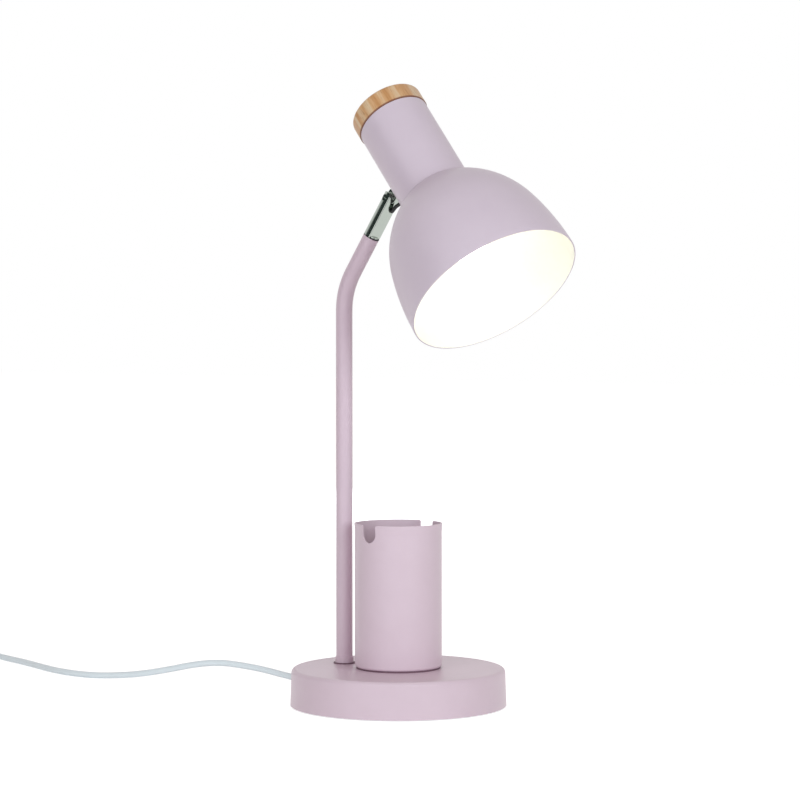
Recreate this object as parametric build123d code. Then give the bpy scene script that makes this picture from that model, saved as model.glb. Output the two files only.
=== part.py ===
from build123d import *
import math
import os

# Desk lamp with pen holder, in millimetres.
# The origin is the middle of the base's underside, +Z is up and +X is the way the lamp faces.
# The base, the pole and its bend are symmetric about the plane Y = 0. The head is turned a little
# about the arm, toward -Y, and tilted down.

# Base: a pressed cover over a cast weight, closed by a plate and a soft pad
base_diameter = 160.0
base_height = 27.8
base_draft = 2.0
base_edge_radius = 3.0
base_foot_gap = 0.6
cover_wall = 1.2
pad_thickness = 1.6
pad_margin = 4.0
plate_thickness = 1.2
plate_margin = 1.4
weight_thickness = 10.0
weight_margin = 6.0
weight_head_gap = 0.1
boss_diameter = 9.0
boss_ring_inset = 18.0
boss_count = 3
plate_screw_diameter = 4.0
plate_screw_head_diameter = 7.6
plate_screw_head_height = 1.3
plate_screw_bite = 9.0

# Pole: a tube with one bend, on a threaded rod that goes through cover and weight
tube_diameter = 12.3
tube_wall = 1.0
pole_distance = 47.8
bend_corner_height = 307.15
bend_radius = 53.3
arm_slope = 31.7
arm_length = 46.0
collar_diameter = 13.5
collar_height = 4.6
foot_washer_diameter = 16.2
foot_washer_thickness = 0.8
rod_diameter = 8.0
rod_bore = 6.0
rod_reach = 17.5
insert_length = 18.0
rod_nut_width = 13.0
rod_nut_height = 4.0
rod_washer_diameter = 15.0
rod_washer_thickness = 0.8
nut_pocket_diameter = 22.0
nut_pocket_depth = 7.5

# Pen cup
cup_diameter = 64.4
cup_height = 106.3
cup_wall = 1.2
cup_flare = 0.4
cup_flare_height = 7.0
cup_foot_radius = 1.8
cup_turn = -10.2
gasket_thickness = 1.0
gasket_inset = 1.0
notch_width = 12.4
notch_depth = 13.0
notch_corner_radius = 1.2
cup_screw_diameter = 4.0
cup_screw_head_diameter = 8.0
cup_screw_head_height = 2.4
cup_screw_length = 13.0
cup_washer_diameter = 14.0
cup_washer_thickness = 1.0

# Knuckle: a cast piece with a round back and a flat front, turning on its spigot in the tube
knuckle_diameter = 12.4
knuckle_front = 3.2
knuckle_edge_radius = 0.6
swivel_washer_thickness = 0.55
spigot_length = 14.0
spigot_bore = 6.0
groove_distance = 8.6
groove_width = 3.0
groove_depth = 1.2
set_screw_diameter = 2.5
pivot_distance = 31.7
pivot_offset = -1.2
lug_radius = 5.0
slot_width = 3.4
slot_floor_distance = 5.8
knuckle_lead_length = 14.4
lead_side = 2.6
lead_exit_distance = 7.9
lead_gap = 0.3
lead_straight_length = 3.0
lead_exit_run = 6.0
spigot_bore_past_lead = 6.0
pivot_screw_diameter = 3.5
pivot_head_diameter = 5.2
pivot_head_height = 1.4
pivot_head_depth = 3.9
friction_washer_diameter = 7.4
friction_washer_thickness = 0.25
swivel_limit = 60.0
head_turn = 10.7
head_tilt = 18.3

# Head: dome, neck tube and wood cap on one axis, with the lampholder inside
opening_reach = 124.5
opening_rise = 28.9
opening_diameter = 129.6
shade_wall = 1.0
dome_side_radius = 192.0
dome_side_depth = 46.5
dome_shoulder_radius = 78.6
dome_collar_height = 6.0
neck_diameter = 54.0
neck_past_pivot = 43.3
cap_diameter = 55.3
cap_seam = 0.3
cap_thickness = 14.0
cap_edge_radius = 2.6
cap_foot_radius = 0.6
cap_spigot_length = 12.3
carrier_thickness = 1.5
tongue_thickness = 2.8
tongue_width = 8.6
saddle_thickness = 1.5
saddle_length = 20.0
saddle_angle = 52.0
lead_diameter = 2.8
lead_bend_radius = 2.2
lead_hole_before_pivot = 8.6
lead_reach = 6.4
bush_flange_diameter = 6.8
bush_flange_height = 1.2
bush_neck_diameter = 5.0
holder_rod_diameter = 10.0
holder_rod_bore = 7.0
holder_rod_length = 17.0
holder_nut_width = 14.0
holder_nut_height = 4.0
cap_screw_diameter = 3.5
cap_screw_head_diameter = 6.4
cap_screw_head_height = 2.0
cap_screw_spread = 34.0
cap_screw_bite = 16.0

# Lampholder and bulb, hung from the carrier plate in the neck
holder_hub_length = 8.1
holder_front_length = 28.0
holder_front_diameter = 28.4
holder_flange_diameter = 31.0
holder_flange_height = 2.0
holder_rear_diameter = 27.8
holder_rear_length = 24.0
holder_wall = 2.4
holder_hub_diameter = 16.0
holder_lead_depth = 8.0
shell_bore = 13.9
shell_wall = 0.45
shell_inset = 3.0
contact_diameter = 4.0
contact_height = 1.7
bulb_seat_depth = 22.5
bulb_diameter = 45.0
bulb_length = 78.0
bulb_cap_diameter = 13.7
bulb_cap_length = 17.5
bulb_cap_wall = 0.4
bulb_glass_wall = 0.8
bulb_tip_length = 3.5
bulb_button_diameter = 5.0

# Cord, its bushing and clamp, and what is on it
cord_diameter = 5.0
cord_exit_height = 13.3
bushing_reach = 12.0
bushing_flange_diameter = 11.0
bushing_flange_thickness = 1.8
bushing_root_diameter = 9.0
bushing_tip_diameter = 6.6
bushing_neck_diameter = 7.4
bushing_lock_diameter = 9.2
bushing_lock_thickness = 1.8
clamp_inset = 12.0
clamp_length = 26.0
clamp_width = 8.0
clamp_thickness = 1.5
clamp_screw_spread = 18.0
clamp_boss_diameter = 7.0
clamp_screw_diameter = 3.0
clamp_screw_head_diameter = 5.6
clamp_screw_head_height = 1.9
clamp_screw_bite = 5.0
switch_length = 60.0
switch_width = 28.0
switch_height = 18.0
switch_wall = 1.8
switch_corner_radius = 6.0
rocker_length = 20.0
rocker_width = 12.0
rocker_rest_angle = 7.0
rocker_pin_diameter = 3.0
plug_width = 35.0
plug_thickness = 13.8
plug_length = 35.0
pin_diameter = 4.0
pin_length = 19.0
pin_spread = 19.0
coil_pitch = 5.6
coil_inner_radius = 20.0
coil_half_turns = 5

# Clearances
fit = 0.05
loose = 0.2
screw_hole = 0.25

# Routes of the free cord, chosen to follow the photograph and then to lie beyond its left edge
front_route = [
    (-103.0, 0.0, 13.3),
    (-121.0, -0.4, 16.2),
    (-141.0, -1.2, 18.2),
    (-161.0, -2.5, 19.2),
    (-182.0, -4.5, 17.0),
    (-206.0, -7.0, 11.6),
    (-232.0, -9.6, 6.4),
    (-258.0, -11.6, 3.4),
    (-279.0, -15.8, 2.5),
    (-298.0, -16.4, 2.5),
    (-316.0, -12.6, 2.5),
    (-336.0, -4.0, 2.5),
    (-358.0, 6.7, 2.5),
    (-384.0, 18.8, 2.5),
    (-410.0, 31.2, 2.5),
    (-428.0, 39.0, 4.0),
    (-443.0, 44.0, 9.0),
    (-456.0, 44.0, 9.0),
]
middle_route = [
    (-527.0, 44.0, 9.0),
    (-541.0, 40.0, 5.2),
    (-551.5, 28.0, 2.7),
    (-555.6, 13.0, 2.5),
    (-556.0, -2.0, 2.5),
    (-556.0, -16.0, 2.5),
]
tail_route = [
    (-488.0, 2.0, 8.1),
    (-482.7, 14.7, 7.7),
    (-470.0, 20.0, 7.2),
    (-457.3, 14.7, 6.9),
    (-452.0, 2.0, 6.9),
    (-452.0, -12.0, 6.9),
]

# Places worked out from the sizes above
base_radius = base_diameter / 2
boss_ring_radius = base_radius - boss_ring_inset
clamp_distance = base_radius - clamp_inset
cover_underside = base_height - cover_wall
plate_bottom = pad_thickness
plate_top = pad_thickness + plate_thickness
weight_top = cover_underside - weight_head_gap
weight_bottom = weight_top - weight_thickness
tube_bore = tube_diameter - 2 * tube_wall
tube_bottom = base_height + foot_washer_thickness
rod_washer_top = weight_bottom + nut_pocket_depth
rod_bottom = weight_bottom + 2.0
cup_bottom = base_height + gasket_thickness
cup_floor_top = cup_bottom + cup_wall
cup_rim = cup_bottom + cup_height
slope = math.radians(arm_slope)
turn = math.radians(head_turn)
tilt = math.radians(head_tilt)
bend_corner = Vector(-pole_distance, 0, bend_corner_height)
arm_direction = Vector(math.sin(slope), 0, math.cos(slope))
arm_front = Vector(math.cos(slope), 0, -math.sin(slope))
knuckle_front_direction = arm_front * math.cos(turn) - Vector(0, 1, 0) * math.sin(turn)
pivot_direction = arm_front * math.sin(turn) + Vector(0, 1, 0) * math.cos(turn)
knuckle_bottom = arm_length + swivel_washer_thickness + fit
pivot_place = knuckle_bottom + pivot_distance
light_direction = knuckle_front_direction * math.cos(tilt) - arm_direction * math.sin(tilt)
head_back_direction = knuckle_front_direction * math.sin(tilt) + arm_direction * math.cos(tilt)
opening_centre = (
    bend_corner + arm_direction * (arm_length + opening_rise) + knuckle_front_direction * opening_reach
)
pivot_point = bend_corner + arm_direction * pivot_place + knuckle_front_direction * pivot_offset
arm_frame = Plane(origin=bend_corner, x_dir=arm_front, z_dir=arm_direction)
knuckle_frame = Plane(origin=bend_corner, x_dir=knuckle_front_direction, z_dir=arm_direction)
head_frame = Plane(origin=opening_centre, x_dir=head_back_direction, z_dir=-light_direction)
pivot_in_head = head_frame.to_local_coords(pivot_point)
lead_exit_place = pivot_place - lead_exit_distance
lead_foot = lead_exit_place - knuckle_lead_length
neck_radius = neck_diameter / 2
neck_inner_radius = neck_radius - shade_wall
neck_end = pivot_in_head.Z + neck_past_pivot
lead_hole_place = pivot_in_head.Z - lead_hole_before_pivot
cap_foot = neck_end + cap_seam
carrier_top = cap_foot - cap_spigot_length - fit
carrier_bottom = carrier_top - carrier_thickness
holder_rear_end = carrier_bottom - fit - holder_hub_length
holder_split = holder_rear_end - holder_rear_length
holder_front_place = holder_split - holder_front_length
holder_lead_place = holder_rear_end - holder_lead_depth
bulb_tip_place = holder_front_place + bulb_seat_depth
bulb_front_place = bulb_tip_place - bulb_length
contact_end = bulb_tip_place + contact_height
cord_radius = cord_diameter / 2
exit_face = -(base_radius + bushing_reach)
switch_mid = front_route[-1][0] - switch_length / 2
switch_left = front_route[-1][0] - switch_length
switch_side = front_route[-1][1]
switch_parting = switch_height / 2
coil_height = coil_pitch


def cylinder_up(diameter, bottom, top, x=0.0, y=0.0):
    """Round bar along Z between two heights."""
    bar = Cylinder(diameter / 2, top - bottom, align=(Align.CENTER, Align.CENTER, Align.MIN))
    return Pos(x, y, bottom) * bar


def ring_up(outer, inner, bottom, top, x=0.0, y=0.0):
    """Round tube or washer along Z between two heights."""
    return cylinder_up(outer, bottom, top, x, y) - cylinder_up(inner, bottom - 1, top + 1, x, y)


def cylinder_along_x(diameter, start, end, y=0.0, z=0.0):
    """Round bar along X between two places."""
    bar = Cylinder(diameter / 2, end - start, align=(Align.CENTER, Align.CENTER, Align.MIN))
    return Pos(start, y, z) * Rot(0, 90, 0) * bar


def cylinder_along_y(diameter, start, end, x=0.0, z=0.0):
    """Round bar along Y between two places."""
    bar = Cylinder(diameter / 2, end - start, align=(Align.CENTER, Align.CENTER, Align.MIN))
    return Pos(x, start, z) * Rot(-90, 0, 0) * bar


def block(x_range, y_range, z_range):
    """Box between two corners."""
    size = [high - low for low, high in (x_range, y_range, z_range)]
    corner = Pos(x_range[0], y_range[0], z_range[0])
    return corner * Box(*size, align=(Align.MIN, Align.MIN, Align.MIN))


def hex_nut(width, bore, bottom, top, x=0.0, y=0.0):
    """Six-sided nut, measured across its flats."""
    outline = RegularPolygon(width / 2, 6, major_radius=False) - Circle(bore / 2)
    return Pos(x, y, bottom) * extrude(outline, top - bottom)


def turned(*outline):
    """Solid of revolution about Z from a closed outline drawn in the XZ plane."""
    return revolve(Plane.XZ * make_face(outline), Axis.Z)


def ring_places(count, radius):
    """Points evenly spaced on a circle, the first on +X."""
    angles = [2 * math.pi * index / count for index in range(count)]
    return [(radius * math.cos(angle), radius * math.sin(angle)) for angle in angles]


def route_radii(points, share=0.45):
    """Largest even bend radius at each corner of a cord's route."""
    corners = [Vector(*point) for point in points]
    radii = []
    for before, here, after in zip(corners, corners[1:], corners[2:]):
        into, out = here - before, after - here
        half_turn = math.radians(into.get_angle(out)) / 2
        radii.append(share * min(into.length, out.length) / math.tan(half_turn))
    return radii


def tube_along(points, radii, diameter, name):
    """Solid cord along straight runs joined by tangent arcs."""
    path = FilletPolyline(*points, radius=radii)
    start = Plane(origin=path @ 0, z_dir=path % 0)
    solid = sweep(start * Circle(diameter / 2), path)
    share = solid.volume / (math.pi * diameter**2 / 4 * path.length)
    print(f"{name}: length {path.length:.1f}, volume share {share:.4f}, radii {[round(r, 1) for r in radii]}")
    return solid


def base_form(extra, bottom, top, edge_radius):
    """Drafted round block with a rounded top edge, the base's outer form grown by extra."""
    slope_out = math.tan(math.radians(base_draft))
    low = base_radius + extra - (bottom - base_foot_gap) * slope_out
    high = base_radius + extra - (top - base_foot_gap) * slope_out
    body = turned(*Polyline((0, bottom), (low, bottom), (high, top), (0, top), close=True).edges())
    rim = body.edges().filter_by(GeomType.CIRCLE).sort_by(Axis.Z)[-1]
    return fillet(rim, edge_radius)


def make_base_cover():
    outer = base_form(0, base_foot_gap, base_height, base_edge_radius)
    hollow = base_form(-cover_wall, base_foot_gap - 1, cover_underside, base_edge_radius - cover_wall)
    rod_hole = cylinder_up(rod_diameter + loose, 0, base_height + 1, -pole_distance)
    cup_hole = cylinder_up(cup_screw_diameter + screw_hole, cover_underside - 1, base_height + 1)
    cord_hole = cylinder_along_x(
        bushing_neck_diameter + loose, -base_radius - 1, -base_radius + 8, 0, cord_exit_height
    )
    return outer - hollow - rod_hole - cup_hole - cord_hole


def make_base_weight():
    radius = base_radius - weight_margin
    body = cylinder_up(2 * radius, weight_bottom, weight_top)
    body = chamfer(body.edges().filter_by(GeomType.CIRCLE), 1.0)
    for x, y in ring_places(boss_count, boss_ring_radius):
        body += cylinder_up(boss_diameter, plate_top, weight_bottom + 1, x, y)
    boss_end = cord_exit_height - cord_radius - loose / 2
    for side in (-1, 1):
        y = side * clamp_screw_spread / 2
        body += cylinder_up(clamp_boss_diameter, boss_end, weight_bottom + 1, -clamp_distance, y)
        body -= cylinder_up(clamp_screw_diameter + fit, 0, boss_end + clamp_screw_bite, -clamp_distance, y)
    for x, y in ring_places(boss_count, boss_ring_radius):
        body -= cylinder_up(plate_screw_diameter + fit, 0, plate_top + plate_screw_bite, x, y)
    body -= cylinder_up(nut_pocket_diameter, weight_bottom - 1, rod_washer_top, -pole_distance)
    body -= cylinder_up(rod_diameter + loose, 0, weight_top + 1, -pole_distance)
    body -= cylinder_up(cup_screw_diameter + fit, weight_bottom - 1, weight_top + 1)
    return body


def make_base_plate():
    inner_radius = base_radius - cover_wall - plate_margin
    plate = cylinder_up(2 * inner_radius, plate_bottom, plate_top)
    for x, y in ring_places(boss_count, boss_ring_radius):
        plate -= cylinder_up(plate_screw_diameter + screw_hole, 0, plate_top + 1, x, y)
    return plate


def make_base_pad():
    pad = cylinder_up(base_diameter - 2 * pad_margin, 0, pad_thickness)
    for x, y in ring_places(boss_count, boss_ring_radius):
        pad -= cylinder_up(plate_screw_head_diameter + 1, -1, pad_thickness + 1, x, y)
    return pad


def make_plate_screws():
    screws = []
    for x, y in ring_places(boss_count, boss_ring_radius):
        head = cylinder_up(
            plate_screw_head_diameter, plate_bottom - plate_screw_head_height, plate_bottom, x, y
        )
        slot = block((x - 3, x + 3), (y - 0.5, y + 0.5), (0, plate_bottom - plate_screw_head_height + 0.6))
        shank = cylinder_up(plate_screw_diameter, plate_bottom, plate_top + plate_screw_bite - 1, x, y)
        screws.append(head + shank - slot)
    return Compound(screws)


def make_cord_bushing():
    z = cord_exit_height
    wall_outside = -base_radius
    taper = Pos(exit_face, 0, z) * Rot(0, 90, 0) * Cone(
        bushing_tip_diameter / 2,
        bushing_root_diameter / 2,
        bushing_reach,
        align=(Align.CENTER, Align.CENTER, Align.MIN),
    )
    flange = taper + cylinder_along_x(
        bushing_flange_diameter, wall_outside - bushing_flange_thickness, wall_outside + 2, 0, z
    )
    flange -= base_form(fit, base_foot_gap - 1, base_height, base_edge_radius)
    lock_start = wall_outside + cover_wall + 0.7
    lock_end = lock_start + bushing_lock_thickness
    neck = cylinder_along_x(bushing_neck_diameter, wall_outside - 0.5, lock_end, 0, z)
    lock = cylinder_along_x(bushing_lock_diameter, lock_start, lock_end, 0, z)
    bore = cylinder_along_x(cord_diameter + fit, exit_face - 1, lock_end + 1, 0, z)
    return flange + neck + lock - bore


def make_cord_clamp():
    top = cord_exit_height - cord_radius - loose / 2
    half_length = clamp_length / 2
    bar = block(
        (-clamp_distance - clamp_width / 2, -clamp_distance + clamp_width / 2),
        (-half_length, half_length),
        (top - clamp_thickness, top),
    )
    bar = fillet(bar.edges().filter_by(Axis.Z), 1.5)
    for side in (-1, 1):
        bar -= cylinder_up(
            clamp_screw_diameter + screw_hole, 0, top + 1, -clamp_distance, side * clamp_screw_spread / 2
        )
    return bar


def make_clamp_screws():
    top = cord_exit_height - cord_radius - loose / 2
    seat = top - clamp_thickness
    screws = []
    for side in (-1, 1):
        y = side * clamp_screw_spread / 2
        head = cylinder_up(
            clamp_screw_head_diameter, seat - clamp_screw_head_height, seat, -clamp_distance, y
        )
        shank = cylinder_up(clamp_screw_diameter, seat, top + clamp_screw_bite - 0.5, -clamp_distance, y)
        screws.append(head + shank)
    return Compound(screws)


def pole_path(bottom):
    top = bend_corner + arm_direction * arm_length
    return FilletPolyline((-pole_distance, 0, bottom), bend_corner, top, radius=bend_radius)


def make_pole():
    path = pole_path(tube_bottom)
    start = Plane(origin=path @ 0, z_dir=path % 0)
    tube = sweep(start * (Circle(tube_diameter / 2) - Circle(tube_bore / 2)), path)
    hole_place = knuckle_bottom - groove_distance
    screw_hole_cut = arm_frame.location * cylinder_along_x(
        set_screw_diameter + fit, -tube_diameter, 0, 0, hole_place
    )
    return tube - screw_hole_cut


def make_pole_collar():
    collar = ring_up(collar_diameter, tube_diameter + fit, tube_bottom, tube_bottom + collar_height, -pole_distance)
    top_edge = collar.edges().filter_by(GeomType.CIRCLE).group_by(Axis.Z)[-1].sort_by(SortBy.LENGTH)[-1]
    return fillet(top_edge, 0.5)


def make_foot_washer():
    return ring_up(foot_washer_diameter, rod_diameter + loose, base_height, tube_bottom, -pole_distance)


def make_pole_insert():
    return ring_up(
        tube_bore - fit, rod_diameter + fit, tube_bottom, tube_bottom + insert_length, -pole_distance
    )


def make_threaded_rod():
    top = tube_bottom + rod_reach
    return ring_up(rod_diameter, rod_bore, rod_bottom, top, -pole_distance)


def make_rod_washer():
    bottom = rod_washer_top - rod_washer_thickness
    washer = ring_up(rod_washer_diameter, rod_diameter + loose, bottom, rod_washer_top, -pole_distance)
    for x, y in ring_places(12, rod_washer_diameter / 2):
        washer -= cylinder_up(1.6, bottom - 1, rod_washer_top + 1, x - pole_distance, y)
    return washer


def make_rod_nut():
    top = rod_washer_top - rod_washer_thickness
    return hex_nut(rod_nut_width, rod_diameter + fit, top - rod_nut_height, top, -pole_distance)


def make_set_screw():
    place = knuckle_bottom - groove_distance
    tip_radius = tube_bore / 2 - fit - groove_depth + 0.3
    screw = cylinder_along_x(set_screw_diameter, -tube_diameter / 2, -tip_radius, 0, place)
    socket = cylinder_along_x(1.3, -tube_diameter, -tube_diameter / 2 + 1.0, 0, place)
    return arm_frame.location * (screw - socket)


def make_cup_gasket():
    outer = cup_diameter - 2 * gasket_inset
    return ring_up(outer, cup_screw_diameter + screw_hole, base_height, cup_bottom)


def make_pen_cup():
    radius = cup_diameter / 2
    outside = Polyline(
        (0, cup_bottom),
        (radius, cup_bottom),
        (radius, cup_rim - cup_flare_height),
        (radius + cup_flare, cup_rim),
        (0, cup_rim),
        close=True,
    )
    inside = Polyline(
        (0, cup_floor_top),
        (radius - cup_wall, cup_floor_top),
        (radius - cup_wall, cup_rim - cup_flare_height),
        (radius - cup_wall + cup_flare, cup_rim),
        (radius - cup_wall + cup_flare, cup_rim + 1),
        (0, cup_rim + 1),
        close=True,
    )
    body = turned(*outside.edges())
    body = fillet(body.edges().filter_by(GeomType.CIRCLE).sort_by(Axis.Z)[0], cup_foot_radius)
    body -= turned(*inside.edges())
    body -= cylinder_up(cup_screw_diameter + screw_hole, cup_bottom - 1, cup_floor_top + 1)
    half = notch_width / 2
    notch = Plane.XZ * make_face(
        [
            Line((-half, cup_rim - notch_depth + half), (-half, cup_rim - notch_corner_radius)),
            RadiusArc(
                (-half, cup_rim - notch_corner_radius),
                (-half - notch_corner_radius, cup_rim),
                -notch_corner_radius,
            ),
            Line((-half - notch_corner_radius, cup_rim), (-half - notch_corner_radius, cup_rim + 1)),
            Line((-half - notch_corner_radius, cup_rim + 1), (half + notch_corner_radius, cup_rim + 1)),
            Line((half + notch_corner_radius, cup_rim + 1), (half + notch_corner_radius, cup_rim)),
            RadiusArc(
                (half + notch_corner_radius, cup_rim),
                (half, cup_rim - notch_corner_radius),
                -notch_corner_radius,
            ),
            Line((half, cup_rim - notch_corner_radius), (half, cup_rim - notch_depth + half)),
            ThreePointArc(
                (half, cup_rim - notch_depth + half),
                (0, cup_rim - notch_depth),
                (-half, cup_rim - notch_depth + half),
            ),
        ]
    )
    cutter = extrude(notch, cup_diameter, both=True)
    return Rot(0, 0, cup_turn) * (body - cutter)


def make_cup_washer():
    return ring_up(
        cup_washer_diameter,
        cup_screw_diameter + screw_hole,
        cup_floor_top,
        cup_floor_top + cup_washer_thickness,
    )


def make_cup_screw():
    seat = cup_floor_top + cup_washer_thickness
    head = cylinder_up(cup_screw_head_diameter, seat, seat + cup_screw_head_height)
    head = fillet(head.edges().filter_by(GeomType.CIRCLE).sort_by(Axis.Z)[-1], 1.0)
    for angle in (0, 90):
        head -= Rot(0, 0, angle) * block((-2.2, 2.2), (-0.45, 0.45), (seat + 1.0, seat + 5))
    return head + cylinder_up(cup_screw_diameter, seat - cup_screw_length, seat)


def make_swivel_washer():
    washer = ring_up(tube_diameter, tube_bore + fit, arm_length, arm_length + swivel_washer_thickness)
    return arm_frame.location * washer


def knuckle_bar(bottom, top):
    """Bar with a half-round back, straight sides and a flat front with rounded corners."""
    half = knuckle_diameter / 2
    flat_end = knuckle_front - knuckle_edge_radius
    side_end = half - knuckle_edge_radius
    bulge = knuckle_edge_radius * math.sin(math.radians(45))
    section = make_face(
        [
            ThreePointArc((0, half), (-half, 0), (0, -half)),
            Line((0, -half), (flat_end, -half)),
            ThreePointArc((flat_end, -half), (flat_end + bulge, -side_end - bulge), (knuckle_front, -side_end)),
            Line((knuckle_front, -side_end), (knuckle_front, side_end)),
            ThreePointArc((knuckle_front, side_end), (flat_end + bulge, side_end + bulge), (flat_end, half)),
            Line((flat_end, half), (0, half)),
        ]
    )
    return Pos(0, 0, bottom) * extrude(section, top - bottom)


def make_knuckle():
    body = knuckle_bar(knuckle_bottom, pivot_place)
    lug = knuckle_bar(pivot_place, pivot_place + lug_radius)
    lug &= cylinder_along_y(
        2 * lug_radius, -knuckle_diameter, knuckle_diameter, pivot_offset, pivot_place
    )
    body += lug
    body += cylinder_up(tube_bore - 2 * fit, knuckle_bottom - spigot_length, knuckle_bottom + 1)
    body -= cylinder_up(spigot_bore, knuckle_bottom - spigot_length - 1, lead_foot + spigot_bore_past_lead)
    body -= knuckle_lead_path(lead_diameter + loose, knuckle_front, "lead channel")
    reach = knuckle_diameter
    half_slot = slot_width / 2
    body -= block(
        (-reach, reach), (-half_slot, half_slot), (pivot_place - slot_floor_distance, pivot_place + reach)
    )
    body -= cylinder_along_y(pivot_screw_diameter + fit, -reach, reach, pivot_offset, pivot_place)
    body -= cylinder_along_y(
        pivot_head_diameter + loose, -reach, -pivot_head_depth, pivot_offset, pivot_place
    )
    return knuckle_frame.location * (body - swivel_groove())


def swivel_groove():
    """Part groove in the spigot, whose ends meet the set screw at the swivel's limits."""
    outer = tube_bore / 2
    inner = tube_bore / 2 - fit - groove_depth
    tip_half_angle = math.degrees(math.asin(set_screw_diameter / 2 / inner))
    half_angle = swivel_limit + tip_half_angle + 2.0
    low = knuckle_bottom - groove_distance - groove_width / 2
    profile = Plane.XZ * Pos((inner + outer + 1) / 2, low + groove_width / 2) * Rectangle(
        outer + 1 - inner, groove_width
    )
    groove = revolve(profile, Axis.Z, 2 * half_angle)
    return Rot(0, 0, 180 - half_angle) * groove


def knuckle_lead_path(diameter, front, name):
    """Bar along the lead's way up the knuckle and out of its flat front, beside the slot."""
    points = [
        (0, 0, lead_foot),
        (0, 0, lead_foot + lead_straight_length),
        (0, lead_side, lead_exit_place - lead_exit_run),
        (0, lead_side, lead_exit_place),
        (front, lead_side, lead_exit_place),
    ]
    radii = [lead_diameter, lead_diameter, lead_bend_radius]
    return tube_along(points, radii, diameter, name)


def make_knuckle_lead():
    """Black lead inside the knuckle, up to its flat front."""
    return knuckle_frame.location * knuckle_lead_path(lead_diameter, knuckle_front, "knuckle lead")


def make_pivot_screw():
    head = cylinder_along_y(
        pivot_head_diameter, -pivot_head_depth - pivot_head_height, -pivot_head_depth, pivot_offset, pivot_place
    )
    head_front = -pivot_head_depth - pivot_head_height
    slot = block(
        (pivot_offset - 3, pivot_offset + 3),
        (head_front - 1, head_front + 0.6),
        (pivot_place - 0.4, pivot_place + 0.4),
    )
    shank = cylinder_along_y(pivot_screw_diameter, -pivot_head_depth, 5.2, pivot_offset, pivot_place)
    return knuckle_frame.location * (head + shank - slot)


def make_friction_washers():
    washers = []
    for side in (-1, 1):
        inner = side * (slot_width / 2 - friction_washer_thickness)
        outer = side * slot_width / 2
        low, high = min(inner, outer), max(inner, outer)
        disc = cylinder_along_y(friction_washer_diameter, low, high, pivot_offset, pivot_place)
        hole = cylinder_along_y(pivot_screw_diameter + fit, low - 1, high + 1, pivot_offset, pivot_place)
        washers.append(knuckle_frame.location * (disc - hole))
    return Compound(washers)


def make_head_bracket():
    """Tongue on the pivot screw, welded to a saddle inside the neck."""
    x, z = pivot_in_head.X, pivot_in_head.Z
    half = tongue_thickness / 2
    tongue = cylinder_along_y(tongue_width, -half, half, x, z)
    tongue += block(
        (x, -neck_inner_radius + 1), (-half, half), (z - tongue_width / 2, z + tongue_width / 2)
    )
    tongue -= cylinder_along_y(pivot_screw_diameter + fit, -half - 1, half + 1, x, z)
    low = z - tongue_width / 2 - 0.4
    outer = neck_inner_radius - fit
    saddle = ring_up(2 * outer, 2 * (outer - saddle_thickness), low, low + saddle_length)
    reach = 2 * neck_radius
    wedge = Polyline(
        (0, 0),
        (-reach, reach * math.tan(math.radians(saddle_angle / 2))),
        (-reach, -reach * math.tan(math.radians(saddle_angle / 2))),
        close=True,
    )
    saddle &= Pos(0, 0, low) * extrude(make_face(wedge), saddle_length)
    return head_frame.location * (tongue + saddle)


def dome_profile(offset):
    """Arc centres and the shoulder's meeting point of the dome's outline, moved inward by offset."""
    side_centre = (opening_diameter / 2 - dome_side_radius, 0.0)
    lean = math.asin(dome_side_depth / dome_side_radius)
    shoulder_centre = (
        side_centre[0] + (dome_side_radius - dome_shoulder_radius) * math.cos(lean),
        (dome_side_radius - dome_shoulder_radius) * math.sin(lean),
    )
    side_radius = dome_side_radius - offset
    shoulder_radius = dome_shoulder_radius - offset
    return side_centre, shoulder_centre, side_radius, shoulder_radius, lean


def shoulder_height(radius, offset):
    """Distance from the opening at which the dome's shoulder has the given radius."""
    _, centre, _, shoulder_radius, _ = dome_profile(offset)
    return centre[1] + math.sqrt(shoulder_radius**2 - (radius - centre[0]) ** 2)


def dome_solid(offset, top_radius):
    """Solid inside the dome's outline, cut off square where it has the top radius."""
    side, shoulder, side_radius, shoulder_radius, lean = dome_profile(offset)
    rim = (side[0] + side_radius, 0.0)
    side_middle = (side[0] + side_radius * math.cos(lean / 2), side_radius * math.sin(lean / 2))
    knee = (side[0] + side_radius * math.cos(lean), side_radius * math.sin(lean))
    top = (top_radius, shoulder_height(top_radius, offset))
    end_angle = math.atan2(top[1] - shoulder[1], top[0] - shoulder[0])
    middle_angle = (lean + end_angle) / 2
    shoulder_middle = (
        shoulder[0] + shoulder_radius * math.cos(middle_angle),
        shoulder[1] + shoulder_radius * math.sin(middle_angle),
    )
    return turned(
        Line((0, 0), rim),
        ThreePointArc(rim, side_middle, knee),
        ThreePointArc(knee, shoulder_middle, top),
        Line(top, (0, top[1])),
        Line((0, top[1]), (0, 0)),
    )


def make_shade_dome():
    collar_radius = neck_inner_radius - fit
    inner_radius = collar_radius - shade_wall
    shell = dome_solid(0, collar_radius) - dome_solid(shade_wall, inner_radius)
    collar_low = shoulder_height(inner_radius, shade_wall) - shade_wall
    collar_top = shoulder_height(collar_radius, 0) + dome_collar_height
    shell += ring_up(2 * collar_radius, 2 * inner_radius, collar_low, collar_top)
    shell -= cylinder_up(2 * inner_radius, collar_low - 5, collar_top + 1)
    return head_frame.location * shell


def neck_foot(radius):
    """Where the neck's lower edge meets the dome, with a hair of clearance."""
    return shoulder_height(radius, 0) + fit


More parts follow.
